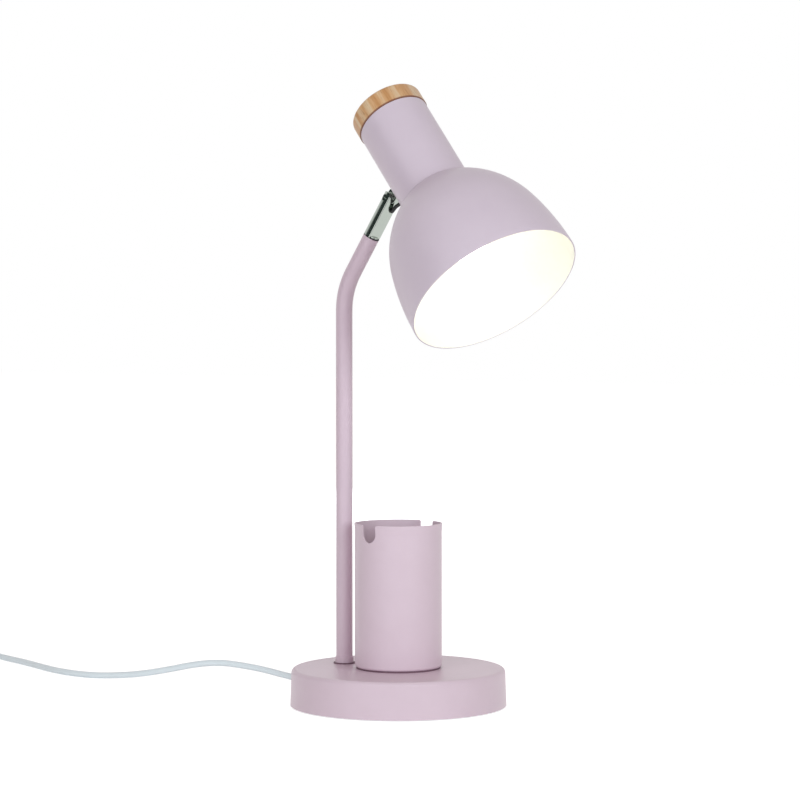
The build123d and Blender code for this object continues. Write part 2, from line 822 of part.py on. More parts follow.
def make_neck():
    tube = turned(
        Line((neck_inner_radius, neck_foot(neck_inner_radius)), (neck_radius, neck_foot(neck_radius))),
        Line((neck_radius, neck_foot(neck_radius)), (neck_radius, neck_end)),
        Line((neck_radius, neck_end), (neck_inner_radius, neck_end)),
        Line((neck_inner_radius, neck_end), (neck_inner_radius, neck_foot(neck_inner_radius))),
    )
    half_slot = tongue_thickness / 2 + loose / 2
    half_height = tongue_width / 2 + loose / 2
    z = pivot_in_head.Z
    tube -= block((-neck_radius - 2, 0), (-half_slot, half_slot), (z - half_height, z + half_height))
    tube -= cylinder_along_x(bush_neck_diameter + fit, -neck_radius - 2, 0, lead_side, lead_hole_place)
    return head_frame.location * tube


def make_lead_bush():
    """Rubber bush where the lead enters the neck, with a flange on each side of the wall."""
    outer_end = -neck_radius - bush_flange_height
    inner_end = -neck_inner_radius + bush_flange_height
    flanges = cylinder_along_x(bush_flange_diameter, outer_end, inner_end, lead_side, lead_hole_place)
    wall = ring_up(
        neck_diameter + fit, 2 * neck_inner_radius - fit, lead_hole_place - 9, lead_hole_place + 9
    )
    body = flanges - wall
    body += cylinder_along_x(bush_neck_diameter - fit, outer_end, inner_end, lead_side, lead_hole_place)
    body -= cylinder_along_x(
        lead_diameter + fit, outer_end - 1, inner_end + 1, lead_side, lead_hole_place
    )
    return head_frame.location * body


def make_hinge_lead():
    """End of the black lead outside the neck, carried by the head."""
    start = -neck_radius - bush_flange_height
    lead = cylinder_along_x(lead_diameter, start - lead_reach, start, lead_side, lead_hole_place)
    return head_frame.location * lead


def make_holder_lead():
    """Lead from the bush, up beside the lampholder and into its rear cap."""
    beside = -(neck_inner_radius - saddle_thickness + holder_rear_diameter / 2) / 2
    points = [
        (-neck_radius - bush_flange_height, lead_side, lead_hole_place),
        (beside, lead_side, lead_hole_place),
        (beside, lead_side, holder_lead_place),
        (-holder_rear_diameter / 2 + 1.0, lead_side, holder_lead_place),
    ]
    return head_frame.location * tube_along(points, [4.0, 3.5], lead_diameter, "holder lead")


def make_wood_cap():
    top = cap_foot + cap_thickness
    disc = cylinder_up(cap_diameter, cap_foot, top)
    circles = disc.edges().filter_by(GeomType.CIRCLE).sort_by(Axis.Z)
    disc = fillet(circles[-1], cap_edge_radius)
    disc = fillet(disc.edges().filter_by(GeomType.CIRCLE).sort_by(Axis.Z)[0], cap_foot_radius)
    spigot = cylinder_up(2 * (neck_inner_radius - loose), cap_foot - cap_spigot_length, cap_foot + 1)
    pocket = cylinder_up(
        holder_nut_width + 5.0, cap_foot - cap_spigot_length - 1, carrier_top + holder_nut_height + 4.0
    )
    cap = disc + spigot - pocket
    for side in (-1, 1):
        cap -= cylinder_up(
            cap_screw_diameter + fit,
            carrier_top - 1,
            carrier_bottom + cap_screw_bite + 0.5,
            0,
            side * cap_screw_spread / 2,
        )
    return head_frame.location * cap


def make_cap_screws():
    screws = []
    for side in (-1, 1):
        y = side * cap_screw_spread / 2
        head = cylinder_up(
            cap_screw_head_diameter, carrier_bottom - cap_screw_head_height, carrier_bottom, 0, y
        )
        shank = cylinder_up(cap_screw_diameter, carrier_bottom, carrier_bottom + cap_screw_bite, 0, y)
        screws.append(head_frame.location * (head + shank))
    return Compound(screws)


def make_carrier_plate():
    plate = cylinder_up(2 * (neck_inner_radius - fit), carrier_bottom, carrier_top)
    plate -= cylinder_up(holder_rod_diameter + loose, carrier_bottom - 1, carrier_top + 1)
    for side in (-1, 1):
        plate -= cylinder_up(
            cap_screw_diameter + screw_hole,
            carrier_bottom - 1,
            carrier_top + 1,
            0,
            side * cap_screw_spread / 2,
        )
    return head_frame.location * plate


def make_holder_rod():
    top = carrier_top + holder_nut_height + 1.5
    return head_frame.location * ring_up(
        holder_rod_diameter, holder_rod_bore, top - holder_rod_length, top
    )


def make_holder_nut():
    nut = hex_nut(holder_nut_width, holder_rod_diameter + fit, carrier_top, carrier_top + holder_nut_height)
    return head_frame.location * nut


def make_holder_front():
    skirt = ring_up(holder_front_diameter, shell_bore + 4 * shell_wall + 1.6, holder_front_place, holder_split)
    flange = ring_up(
        holder_flange_diameter,
        holder_front_diameter - 1,
        holder_front_place,
        holder_front_place + holder_flange_height,
    )
    return head_frame.location * (skirt + flange)


def make_holder_rear():
    body = cylinder_up(holder_rear_diameter, holder_split + fit, holder_rear_end)
    body += cylinder_up(holder_hub_diameter, holder_rear_end - 1, carrier_bottom - fit)
    body -= cylinder_up(
        holder_rear_diameter - 2 * holder_wall, holder_split - 1, holder_rear_end - holder_wall
    )
    body -= cylinder_up(holder_rod_diameter + fit, holder_split, carrier_bottom + 1)
    body -= cylinder_along_x(
        lead_diameter + loose, -holder_rear_diameter, 0, lead_side, holder_lead_place
    )
    return head_frame.location * body


def make_holder_block():
    """Insulating block that carries the screw shell and the centre contact."""
    radius = holder_rear_diameter / 2 - holder_wall - fit
    narrow = cylinder_up(shell_bore + 2 * shell_wall + 1.0, contact_end, holder_split + fit)
    wide = cylinder_up(2 * radius, holder_split + fit, holder_split + 6.0)
    return head_frame.location * (narrow + wide)


def make_screw_shell():
    return head_frame.location * ring_up(
        shell_bore + 2 * shell_wall, shell_bore, holder_front_place + shell_inset, contact_end
    )


def make_centre_contact():
    return head_frame.location * cylinder_up(contact_diameter, bulb_tip_place + fit, contact_end)


def bulb_outline(inset):
    """Globe with a straight neck that leaves it as a tangent, shrunk by the glass's wall."""
    radius = bulb_diameter / 2 - inset
    centre = bulb_front_place + bulb_diameter / 2
    neck_place = bulb_tip_place - bulb_tip_length - bulb_cap_length - fit
    neck_radius_here = bulb_cap_diameter / 2 - bulb_cap_wall - fit - inset
    rise = neck_place - centre
    reach = math.hypot(neck_radius_here, rise)
    toward = math.atan2(rise, neck_radius_here)
    touch = toward - math.acos(radius / reach)
    touch_point = (radius * math.cos(touch), centre + radius * math.sin(touch))
    half = (touch - math.pi / 2) / 2
    arc_middle = (radius * math.cos(half), centre + radius * math.sin(half))
    front = (0, centre - radius)
    collar_end = neck_place + 4.0
    return turned(
        ThreePointArc(front, arc_middle, touch_point),
        Line(touch_point, (neck_radius_here, neck_place)),
        Line((neck_radius_here, neck_place), (neck_radius_here, collar_end)),
        Line((neck_radius_here, collar_end), (0, collar_end)),
        Line((0, collar_end), front),
    )


def make_bulb_glass():
    neck_place = bulb_tip_place - bulb_tip_length - bulb_cap_length
    opening = cylinder_up(bulb_cap_diameter - 4 * bulb_glass_wall, neck_place, neck_place + 10)
    return head_frame.location * (bulb_outline(0) - bulb_outline(bulb_glass_wall) - opening)


def make_bulb_cap():
    start = bulb_tip_place - bulb_tip_length - bulb_cap_length
    end = bulb_tip_place - bulb_tip_length
    tube = ring_up(bulb_cap_diameter, bulb_cap_diameter - 2 * bulb_cap_wall, start, end)
    floor = ring_up(bulb_cap_diameter - bulb_cap_wall, bulb_button_diameter + 1.5, end - 0.5, end)
    return head_frame.location * (tube + floor)


def make_bulb_base():
    """Glass insulator under the screw cap."""
    start = bulb_tip_place - bulb_tip_length
    cone = Pos(0, 0, start) * Cone(
        bulb_cap_diameter / 2 - 0.6,
        bulb_button_diameter / 2 + 0.2,
        bulb_tip_length - 1.0,
        align=(Align.CENTER, Align.CENTER, Align.MIN),
    )
    return head_frame.location * cone


def make_bulb_button():
    return head_frame.location * cylinder_up(bulb_button_diameter, bulb_tip_place - 1.0, bulb_tip_place)


def make_inner_cord():
    """Cord from the bushing's face along the base, up the rod and the pole into the knuckle."""
    end_place = lead_foot - lead_gap
    points = [
        (exit_face, 0, cord_exit_height),
        (-pole_distance, 0, cord_exit_height),
        tuple(bend_corner),
        tuple(bend_corner + arm_direction * end_place),
    ]
    return tube_along(points, [cord_diameter, bend_radius], cord_diameter, "inner cord")


def make_cord_front():
    points = [(exit_face, 0.0, cord_exit_height)] + front_route
    return tube_along(points, route_radii(points), cord_diameter, "front cord")


def make_cord_middle():
    points = [(switch_left, switch_side, switch_parting)] + middle_route
    return tube_along(points, route_radii(points), cord_diameter, "middle cord")


def coil_climb(start, radius, rise):
    """Two tangent arcs that make the half turn and climb one layer, from the right to the left side."""
    side = math.hypot(radius, rise / 2)
    middle = start + Vector(-radius, side, rise / 2)
    first = TangentArc(start, middle, tangent=(0, 1, 0))
    second = TangentArc(middle, start + Vector(-2 * radius, 0, rise), tangent=first % 1)
    return [first, second]


def coil_path():
    """Flat spiral inward, a climbing half turn, and a flat spiral outward on top of it."""
    lead = cord_diameter + 1.0
    place = Vector(*middle_route[-1])
    edges = [Line(place, place - Vector(0, lead, 0))]
    place = place - Vector(0, lead, 0)
    radii = [coil_inner_radius + index * coil_pitch / 2 for index in range(coil_half_turns)]
    side = 1
    for radius in reversed(radii):
        end = place + Vector(side * 2 * radius, 0, 0)
        edges.append(ThreePointArc(place, place + Vector(side * radius, -side * radius, 0), end))
        place = end
        side = -side
    edges += coil_climb(place, coil_inner_radius - coil_pitch / 2, coil_height)
    place = place + Vector(-2 * coil_inner_radius + coil_pitch, 0, coil_height)
    side = 1
    for radius in radii:
        end = place + Vector(side * 2 * radius, 0, 0)
        edges.append(ThreePointArc(place, place + Vector(side * radius, -side * radius, 0), end))
        place = end
        side = -side
    edges.append(Line(place, place + Vector(0, lead, 0)))
    return Wire(edges), place + Vector(0, lead, 0)


def least_coil_gap(path):
    """Smallest gap between the coil's turns, from points along its path."""
    count = 700
    points = [path @ (index / count) for index in range(count + 1)]
    step = path.length / count
    skip = int(math.pi * (coil_inner_radius - coil_pitch / 2) / step)
    least = min(
        (points[i] - points[j]).length for i in range(count + 1) for j in range(i + skip, count + 1)
    )
    return least - cord_diameter


def make_cord_coil():
    path, _ = coil_path()
    start = Plane(origin=path @ 0, z_dir=path % 0)
    solid = sweep(start * Circle(cord_radius), path)
    share = solid.volume / (math.pi * cord_radius**2 * path.length)
    print(f"coil: length {path.length:.1f}, volume share {share:.4f}, least gap {least_coil_gap(path):.2f}")
    return solid


def make_cord_tail():
    _, coil_end = coil_path()
    points = [tuple(coil_end)] + tail_route
    return tube_along(points, route_radii(points), cord_diameter, "tail cord")


def switch_outline(inset):
    """Plan of the in-line switch's housing, shrunk by inset."""
    plan = RectangleRounded(
        switch_length - 2 * inset, switch_width - 2 * inset, switch_corner_radius - inset
    )
    return Pos(switch_mid, switch_side, 0) * plan


def switch_screw_places():
    spread = switch_length / 2 - switch_wall - 5.0
    return [(switch_mid - spread, switch_side), (switch_mid + spread, switch_side)]


def make_switch_lower():
    body = extrude(switch_outline(0), switch_parting)
    body = chamfer(body.edges().group_by(Axis.Z)[0], 1.2)
    body -= Pos(0, 0, switch_wall) * extrude(switch_outline(switch_wall), switch_parting)
    for x, y in switch_screw_places():
        body += ring_up(6.5, 3.2, 0, switch_parting, x, y)
        body -= cylinder_up(5.8, -1, 2.0, x, y)
        body -= cylinder_up(3.2, -1, switch_parting + 1, x, y)
    return body


def rocker_opening():
    half_length = rocker_length / 2 + 0.8
    half_width = rocker_width / 2 + 0.3
    return block(
        (switch_mid - half_length, switch_mid + half_length),
        (switch_side - half_width, switch_side + half_width),
        (switch_parting, switch_height + 1),
    )


def rocker_axis_height():
    return switch_height - 3.2


def make_switch_upper():
    body = Pos(0, 0, switch_parting + fit) * extrude(switch_outline(0), switch_height - switch_parting - fit)
    body = fillet(body.edges().group_by(Axis.Z)[-1], 2.4)
    hollow_top = switch_height - switch_wall
    body -= extrude(switch_outline(switch_wall), hollow_top)
    for side in (-1, 1):
        near = rocker_width / 2 + 0.3
        low, high = sorted((side * near, side * (near + 3.0)))
        body += block(
            (switch_mid - 4, switch_mid + 4),
            (switch_side + low, switch_side + high),
            (rocker_axis_height() - 3, switch_height - 1),
        )
    for x, y in switch_screw_places():
        body += cylinder_up(6.5, switch_parting + fit, hollow_top + 0.5, x, y)
        body -= cylinder_up(2.5, switch_parting - 1, hollow_top - 1.5, x, y)
    body -= rocker_opening()
    bearing = rocker_width / 2 + 2.4
    body -= cylinder_along_y(
        rocker_pin_diameter + 0.1,
        switch_side - bearing,
        switch_side + bearing,
        switch_mid,
        rocker_axis_height(),
    )
    return body


def make_switch_rocker():
    """Rocker with two raised ends, lying on its pressed side."""
    half = rocker_length / 2
    profile = Polyline(
        (-half, 4.6), (0, 2.6), (half, 4.6), (half, 0.8), (4.0, -2.6), (-4.0, -2.6), (-half, 0.8), close=True
    )
    body = extrude(Plane.XZ * make_face(profile), rocker_width / 2, both=True)
    body = fillet(body.edges().filter_by(Axis.Y).group_by(Axis.Z)[-1], 0.8)
    pin_reach = rocker_width / 2 + 2.0
    body += cylinder_along_y(rocker_pin_diameter, -pin_reach, pin_reach)
    return Pos(switch_mid, switch_side, rocker_axis_height()) * Rot(0, rocker_rest_angle, 0) * body


def make_switch_contacts():
    """Fixed brass contacts in the lower housing."""
    strips = []
    for side in (-1, 1):
        x = switch_mid + side * 8.5
        y_range = (switch_side - 3, switch_side + 3)
        foot = block((x - 4, x + 4), y_range, (switch_wall, switch_wall + 0.8))
        post = block((x - 0.4, x + 0.4), y_range, (switch_wall, switch_parting - 1.5))
        strips.append(foot + post)
    return Compound(strips)


def make_switch_screws():
    screws = []
    for x, y in switch_screw_places():
        head = cylinder_up(5.4, 0.5, 2.0, x, y)
        slot = block((x - 2.2, x + 2.2), (y - 0.4, y + 0.4), (0, 1.1))
        shank = cylinder_up(2.45, 2.0, switch_parting + 4.5, x, y)
        screws.append(head + shank - slot)
    return Compound(screws)


def make_plug_body():
    x, end, z = tail_route[-1]
    face = end - plug_length
    wide = Plane(origin=(x, face, z), x_dir=(1, 0, 0), z_dir=(0, 1, 0))
    narrow = Plane(origin=(x, end, z), x_dir=(1, 0, 0), z_dir=(0, 1, 0))
    middle = Plane(origin=(x, face + 0.45 * plug_length, z), x_dir=(1, 0, 0), z_dir=(0, 1, 0))
    grip = extrude(wide * RectangleRounded(plug_width, plug_thickness, 4.0), 0.45 * plug_length)
    taper = loft(
        [
            middle * RectangleRounded(plug_width, plug_thickness, 4.0),
            narrow * RectangleRounded(2.4 * cord_diameter, 2.0 * cord_diameter, 4.0),
        ]
    )
    body = grip + taper
    for side in (-1, 1):
        body -= cylinder_along_y(pin_diameter + fit, face - 1, face + 8.0, x + side * pin_spread / 2, z)
    return body


def make_plug_pins():
    x, end, z = tail_route[-1]
    face = end - plug_length
    pins = []
    for side in (-1, 1):
        pin = cylinder_along_y(pin_diameter, face - pin_length, face + 7.9, x + side * pin_spread / 2, z)
        tip = pin.edges().filter_by(GeomType.CIRCLE).sort_by(Axis.Y)[0]
        pins.append(fillet(tip, 1.4))
    return Compound(pins)


parts = {
    "base_cover": make_base_cover,
    "base_weight": make_base_weight,
    "base_plate": make_base_plate,
    "base_pad": make_base_pad,
    "plate_screws": make_plate_screws,
    "cord_bushing": make_cord_bushing,
    "cord_clamp": make_cord_clamp,
    "clamp_screws": make_clamp_screws,
    "pole": make_pole,
    "pole_collar": make_pole_collar,
    "foot_washer": make_foot_washer,
    "pole_insert": make_pole_insert,
    "threaded_rod": make_threaded_rod,
    "rod_washer": make_rod_washer,
    "rod_nut": make_rod_nut,
    "set_screw": make_set_screw,
    "swivel_washer": make_swivel_washer,
    "inner_cord": make_inner_cord,
    "cup_gasket": make_cup_gasket,
    "pen_cup": make_pen_cup,
    "cup_washer": make_cup_washer,
    "cup_screw": make_cup_screw,
    "knuckle": make_knuckle,
    "knuckle_lead": make_knuckle_lead,
    "pivot_screw": make_pivot_screw,
    "friction_washers": make_friction_washers,
    "head_bracket": make_head_bracket,
    "shade_dome": make_shade_dome,
    "neck": make_neck,
    "lead_bush": make_lead_bush,
    "hinge_lead": make_hinge_lead,
    "holder_lead": make_holder_lead,
    "wood_cap": make_wood_cap,
    "cap_screws": make_cap_screws,
    "carrier_plate": make_carrier_plate,
    "holder_rod": make_holder_rod,
    "holder_nut": make_holder_nut,
    "holder_front": make_holder_front,
    "holder_rear": make_holder_rear,
    "holder_block": make_holder_block,
    "screw_shell": make_screw_shell,
    "centre_contact": make_centre_contact,
    "bulb_glass": make_bulb_glass,
    "bulb_cap": make_bulb_cap,
    "bulb_base": make_bulb_base,
    "bulb_button": make_bulb_button,
    "cord_front": make_cord_front,
    "switch_lower": make_switch_lower,
    "switch_upper": make_switch_upper,
    "switch_rocker": make_switch_rocker,
    "switch_contacts": make_switch_contacts,
    "switch_screws": make_switch_screws,
    "cord_middle": make_cord_middle,
    "cord_coil": make_cord_coil,
    "cord_tail": make_cord_tail,
    "plug_body": make_plug_body,
    "plug_pins": make_plug_pins,
}

os.makedirs("parts", exist_ok=True)
for node, make in parts.items():
    export_step(make(), f"parts/{node}.step")
print(f"pivot {tuple(pivot_point)}, pivot axis {tuple(pivot_direction)}")
print(f"swivel axis {tuple(arm_direction)}, bend corner {tuple(bend_corner)}")
print(f"opening centre {tuple(opening_centre)}, light direction {tuple(light_direction)}")
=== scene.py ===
# %% [markdown]
# # Desk lamp with a pen holder
#
# A pink powder-coated desk lamp: a round weighted base, a pen cup on its middle, a slim pole with one
# bend, a chrome knuckle and a dome shade with a neck and a wooden end cap. The cord leaves the back of
# the base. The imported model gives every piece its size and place, in metres, and this file adds the
# looks: finishes, the softly lying cord, the pieces that need finer shapes, the light and the camera.

import math

import bpy
from mathutils import Matrix, Vector


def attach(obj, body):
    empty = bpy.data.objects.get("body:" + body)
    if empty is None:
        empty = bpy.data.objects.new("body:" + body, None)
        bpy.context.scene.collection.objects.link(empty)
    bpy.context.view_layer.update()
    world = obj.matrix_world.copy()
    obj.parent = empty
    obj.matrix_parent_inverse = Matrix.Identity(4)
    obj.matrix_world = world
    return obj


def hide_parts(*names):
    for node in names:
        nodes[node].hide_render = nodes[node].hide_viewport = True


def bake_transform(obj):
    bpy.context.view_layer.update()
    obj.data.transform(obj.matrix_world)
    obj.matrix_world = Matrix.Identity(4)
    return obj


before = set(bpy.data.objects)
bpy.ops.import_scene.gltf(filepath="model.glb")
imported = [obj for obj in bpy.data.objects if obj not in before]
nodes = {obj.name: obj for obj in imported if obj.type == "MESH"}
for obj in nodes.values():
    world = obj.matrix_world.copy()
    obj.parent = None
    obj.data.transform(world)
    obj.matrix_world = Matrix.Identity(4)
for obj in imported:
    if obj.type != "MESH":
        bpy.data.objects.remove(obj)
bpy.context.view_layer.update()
print("pieces from the packed model:", len(nodes))

# %% [markdown]
# ## The two tilted directions of the lamp
#
# The pole leans forward above its bend, and the head hangs on it turned a little to the side and tilted
# down. Everything on the head is round about one slanted line, the head's axis. It is easier to model
# such a piece upright, around the world's Z axis, and to lay it over with one matrix at the end. Here
# that matrix is worked out once: its Z column is the way from the shade's opening back to the wooden cap.
# Lengths are written in millimetres and turned into metres by MM.

# %% Head and arm directions
MM = 0.001
BEND_CORNER = Vector((-47.8, 0.0, 307.15)) * MM
OPENING_RISE = 74.9
OPENING_REACH = 124.5
ARM_SLOPE = math.radians(31.7)
HEAD_TURN = math.radians(10.7)
HEAD_TILT = math.radians(18.3)

arm_up = Vector((math.sin(ARM_SLOPE), 0, math.cos(ARM_SLOPE)))
arm_front = Vector((math.cos(ARM_SLOPE), 0, -math.sin(ARM_SLOPE)))
side_way = Vector((0, 1, 0))
knuckle_front = arm_front * math.cos(HEAD_TURN) - side_way * math.sin(HEAD_TURN)
pivot_way = arm_front * math.sin(HEAD_TURN) + side_way * math.cos(HEAD_TURN)
light_way = knuckle_front * math.cos(HEAD_TILT) - arm_up * math.sin(HEAD_TILT)
head_out = knuckle_front * math.sin(HEAD_TILT) + arm_up * math.cos(HEAD_TILT)
opening_centre = BEND_CORNER + arm_up * OPENING_RISE * MM + knuckle_front * OPENING_REACH * MM


def frame_matrix(origin, x_way, y_way, z_way):
    """Matrix that lays a piece modelled upright at the world's origin into a tilted frame."""
    columns = Matrix((x_way, y_way, z_way)).transposed().to_4x4()
    return Matrix.Translation(origin) @ columns


head_place = frame_matrix(opening_centre, head_out, pivot_way, -light_way)
knuckle_place = frame_matrix(BEND_CORNER, knuckle_front, pivot_way, arm_up)
print("light goes", [round(value, 3) for value in light_way])

# %% [markdown]
# ## The camera
#
# A product photographer stands well back and uses a long lens, so that a tall thin object keeps its
# proportions. The photograph was taken from two metres, about two thirds up the lamp, turned 32 degrees
# to the lamp's right side. The lens is 121 mm on a 36 mm wide sensor.

# %% Camera
CAMERA_PLACE = Vector((1061.44, -1683.28, 299.0)) * MM
CAMERA_WAY = Vector((-0.53251, 0.84561, -0.03667))
LAMP_MIDDLE = Vector((0.0, 0.0, 0.2))

bpy.context.scene.view_settings.view_transform = "Standard"
camera_data = bpy.data.cameras.new("photo_camera")
camera_data.lens = 121.49
camera_data.sensor_width = 36
camera_data.clip_end = 20
camera = bpy.data.objects.new("photo_camera", camera_data)
bpy.context.collection.objects.link(camera)
camera.location = CAMERA_PLACE
camera.rotation_euler = CAMERA_WAY.to_track_quat("-Z", "Y").to_euler()
bpy.context.scene.camera = camera
print("camera distance", round((camera.location - LAMP_MIDDLE).length, 2), "m")

# %% [markdown]
# ## The cord
#
# A light cord of 5 mm soft plastic, one and a half metres long. It leaves the base through a short
# tapered strain relief, rises in a low stiff arch, comes down to the table and wanders off to the left.
# Beyond the picture it carries a rocker switch and is put away in a flat coil of two layers, with the plug
# beside it. A cord is one smooth curve, so it is drawn as one spline whose control points are listed in
# millimetres. The spline cuts the corners of its control points, as a real cord does.

# %% Cord route
CORD_DIAMETER = 5.0
CORD_EXIT = (-92.0, 0.0, 13.3)
front_route = [
    (-103.0, 0.0, 14.6),
    (-121.0, -0.4, 17.5),
    (-141.0, -1.2, 19.4),
    (-161.0, -2.5, 20.4),
    (-182.0, -4.5, 17.9),
    (-206.0, -7.0, 12.3),
    (-232.0, -9.2, 7.0),
    (-258.0, -9.0, 3.8),
    (-280.0, -10.4, 2.5),
    (-300.0, -9.4, 2.5),
    (-319.0, -5.0, 2.5),
    (-340.0, 3.8, 2.5),
    (-362.0, 14.6, 2.5),
    (-387.0, 25.8, 2.5),
    (-411.0, 34.8, 2.5),
    (-428.0, 40.2, 4.0),
    (-443.0, 44.0, 9.0),
    (-456.0, 44.0, 9.0),
]
middle_route = [
    (-516.0, 44.0, 9.0),
    (-527.0, 44.0, 9.0),
    (-541.0, 40.0, 5.2),
    (-551.5, 28.0, 2.7),
    (-555.6, 13.0, 2.5),
    (-556.0, -2.0, 2.5),
    (-556.0, -16.0, 2.5),
]
tail_route = [
    (-488.0, 2.0, 8.1),
    (-482.7, 14.7, 7.7),
    (-470.0, 20.0, 7.2),
    (-457.3, 14.7, 6.9),
    (-452.0, 2.0, 6.9),
    (-452.0, -12.0, 6.9),
]
print("control points laid by hand:", len(front_route) + len(middle_route) + len(tail_route))

# %% [markdown]
# The coil is written as a rule and not as points laid by hand: half circles that shrink by a fixed step
# to the middle, one that climbs a layer, and the same steps out again. Eight control points make each
# half circle. They stand a little outside the wanted radius, because this kind of spline passes inside
# its control points by two parts in a hundred at that spacing.

# %% Coil of the put-away length
COIL_PITCH = 5.6
COIL_INNER_RADIUS = 20.0
COIL_LEAD = 6.0
HALF_TURNS_IN_LAYER = 5
POINTS_PER_HALF_TURN = 8
OUTSIDE_STEP = 1 / 0.981


def half_turn(start, side, radius, rise):
    """Control points of one half circle of the coil, and the place where it ends."""
    centre_x = start[0] + side * radius
    points = []
    for index in range(POINTS_PER_HALF_TURN):
        share = (index + 0.5) / POINTS_PER_HALF_TURN
        angle = math.pi * share
        x = centre_x - side * radius * OUTSIDE_STEP * math.cos(angle)
        y = start[1] - side * radius * OUTSIDE_STEP * math.sin(angle)
        points.append((x, y, start[2] + rise * share))
    return points, (start[0] + side * 2 * radius, start[1], start[2] + rise)


layer_radii = [COIL_INNER_RADIUS + index * COIL_PITCH / 2 for index in range(HALF_TURNS_IN_LAYER)]
half_turns = [(radius, 0.0) for radius in reversed(layer_radii)]
half_turns.append((COIL_INNER_RADIUS - COIL_PITCH / 2, COIL_PITCH))
half_turns += [(radius, 0.0) for radius in layer_radii]

coil_points = []
coil_place = (middle_route[-1][0], middle_route[-1][1] - COIL_LEAD, middle_route[-1][2])
for index, (turn_radius, turn_rise) in enumerate(half_turns):
    turn_side = -1 if index % 2 else 1
    points, coil_place = half_turn(coil_place, turn_side, turn_radius, turn_rise)
    coil_points += points
print("coil control points:", len(coil_points))

# %% [markdown]
# A round bevel gives the spline its thickness. The bevel is one metre deep and each control point has
# the real radius in metres, because Blender counts a point's radius into the object's box without the
# bevel. That keeps the box true. The black lead at the knuckle is drawn by the same helper, with more
# steps between two control points than the cord, because its bend is tighter.

# %% Round line
CORD_STEPS = 6


def round_line(name, places, diameter, steps):
    """Smooth round line on control points in metres, with its diameter in millimetres."""
    curve = bpy.data.curves.new(name, "CURVE")
    curve.dimensions = "3D"
    spline = curve.splines.new("NURBS")
    spline.points.add(len(places) - 1)
    for control, place in zip(spline.points, places):
        control.co = (*place, 1.0)
        control.radius = diameter / 2 * MM
    spline.order_u = 3
    spline.use_endpoint_u = True
    spline.resolution_u = steps
    curve.bevel_depth = 1.0
    curve.bevel_resolution = 6
    curve.use_fill_caps = True
    line = bpy.data.objects.new(name, curve)
    bpy.context.collection.objects.link(line)
    return line


cord_points = [CORD_EXIT] + front_route + middle_route + coil_points + tail_route
cord_places = [Vector(point) * MM for point in cord_points]
cord = round_line("cord", cord_places, CORD_DIAMETER, CORD_STEPS)
print("cord control points:", len(cord_points))

# %% [markdown]
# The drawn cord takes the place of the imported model's stiff tubes and coil, with the same diameter and
# the same exit from the base. The switch and the plug are solid pieces that it passes through or ends
# in. They lie on the table with it, and the whole of it stays with the base when the head moves.

# %% Cord settings
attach(cord, "base")
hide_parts("cord_front", "cord_middle", "cord_coil", "cord_tail")
print("the drawn cord is", CORD_DIAMETER, "mm thick")

# %% [markdown]
# ## Colours, nodes and the size of a pattern
#
# Colours are written as web colours, the way a paint chart gives them. Blender works in linear light, so
# one function turns a web colour into linear values. A second small function adds any node to a
# material, sets its values and makes its links, so that a finish can be read from top to bottom. A
# pattern is given by the size of its features in millimetres, and a last function turns that into the
# scale that a noise node wants, which is features to the metre.

# %% Colour and node helpers
def linear(web_colour):
    """Web colour such as "#d9c7d3" as linear red, green, blue and full opacity."""
    values = []
    for start in (1, 3, 5):
        share = int(web_colour[start:start + 2], 16) / 255
        if share <= 0.04045:
            values.append(share / 12.92)
        else:
            values.append(((share + 0.055) / 1.055) ** 2.4)
    return (*values, 1.0)


def add_node(material, kind, settings=None, values=None, links=None):
    """Node of one kind in a material, with attributes, socket values and links into its sockets."""
    node = material.node_tree.nodes.new(kind)
    for name, value in (settings or {}).items():
        setattr(node, name, value)
    for socket, value in (values or {}).items():
        node.inputs[socket].default_value = value
    for socket, output in (links or {}).items():
        material.node_tree.links.new(output, node.inputs[socket])
    return node


def new_material(name):
    """Empty node material and its output node."""
    material = bpy.data.materials.new(name)
    material.use_nodes = True
    material.node_tree.nodes.clear()
    output = add_node(material, "ShaderNodeOutputMaterial")
    return material, output


def connect(material, output_socket, input_socket):
    """Link from an output socket into an input socket."""
    material.node_tree.links.new(output_socket, input_socket)


def per_metre(feature):
    """Noise scale for features of a given size in millimetres."""
    return 1000.0 / feature


print("web colour #808080 is", round(linear("#808080")[0], 3), "in linear light")

# %% [markdown]
# ## The white ground
#
# The photograph has a pure white ground. A sheet of paper lit like the lamp would come out pale grey, so
# the table and the room are made to look white, but only to the rays that someone sees by: those that
# start in the camera, and those that reach it by way of a mirror or through glass. To the light that
# falls on the lamp they stay a plain matte sheet and a soft room.

# %% Rays that are seen
def seen_rays(material):
    """Socket with 1 for camera, mirror and glass rays, and 0 for those that carry light to the lamp."""
    path = add_node(material, "ShaderNodeLightPath")
    camera_or_mirror = add_node(
        material,
        "ShaderNodeMath",
        settings={"operation": "MAXIMUM"},
        links={0: path.outputs["Is Camera Ray"], 1: path.outputs["Is Glossy Ray"]},
    )
    seen = add_node(
        material,
        "ShaderNodeMath",
        settings={"operation": "MAXIMUM"},
        links={0: camera_or_mirror.outputs[0], 1: path.outputs["Is Transmission Ray"]},
    )
    return seen.outputs[0]


table_sheet, table_output = new_material("white_table_sheet")
table_seen = seen_rays(table_sheet)
print("nodes that tell the seen rays:", len(table_sheet.node_tree.nodes) - 1)

# %% [markdown]
# The table is one wide matte sheet, a hair under the lamp so that the two don't share a face. It takes
# the lamp's soft shadow, and its own shine is added to that for the rays that are seen. The shine is as
# weak as the ground's pure white allows, because a stronger one would drown the shadow.

# %% Table
TABLE_SIZE = 14.0
TABLE_DROP = 0.0002
TABLE_SHINE = 0.7

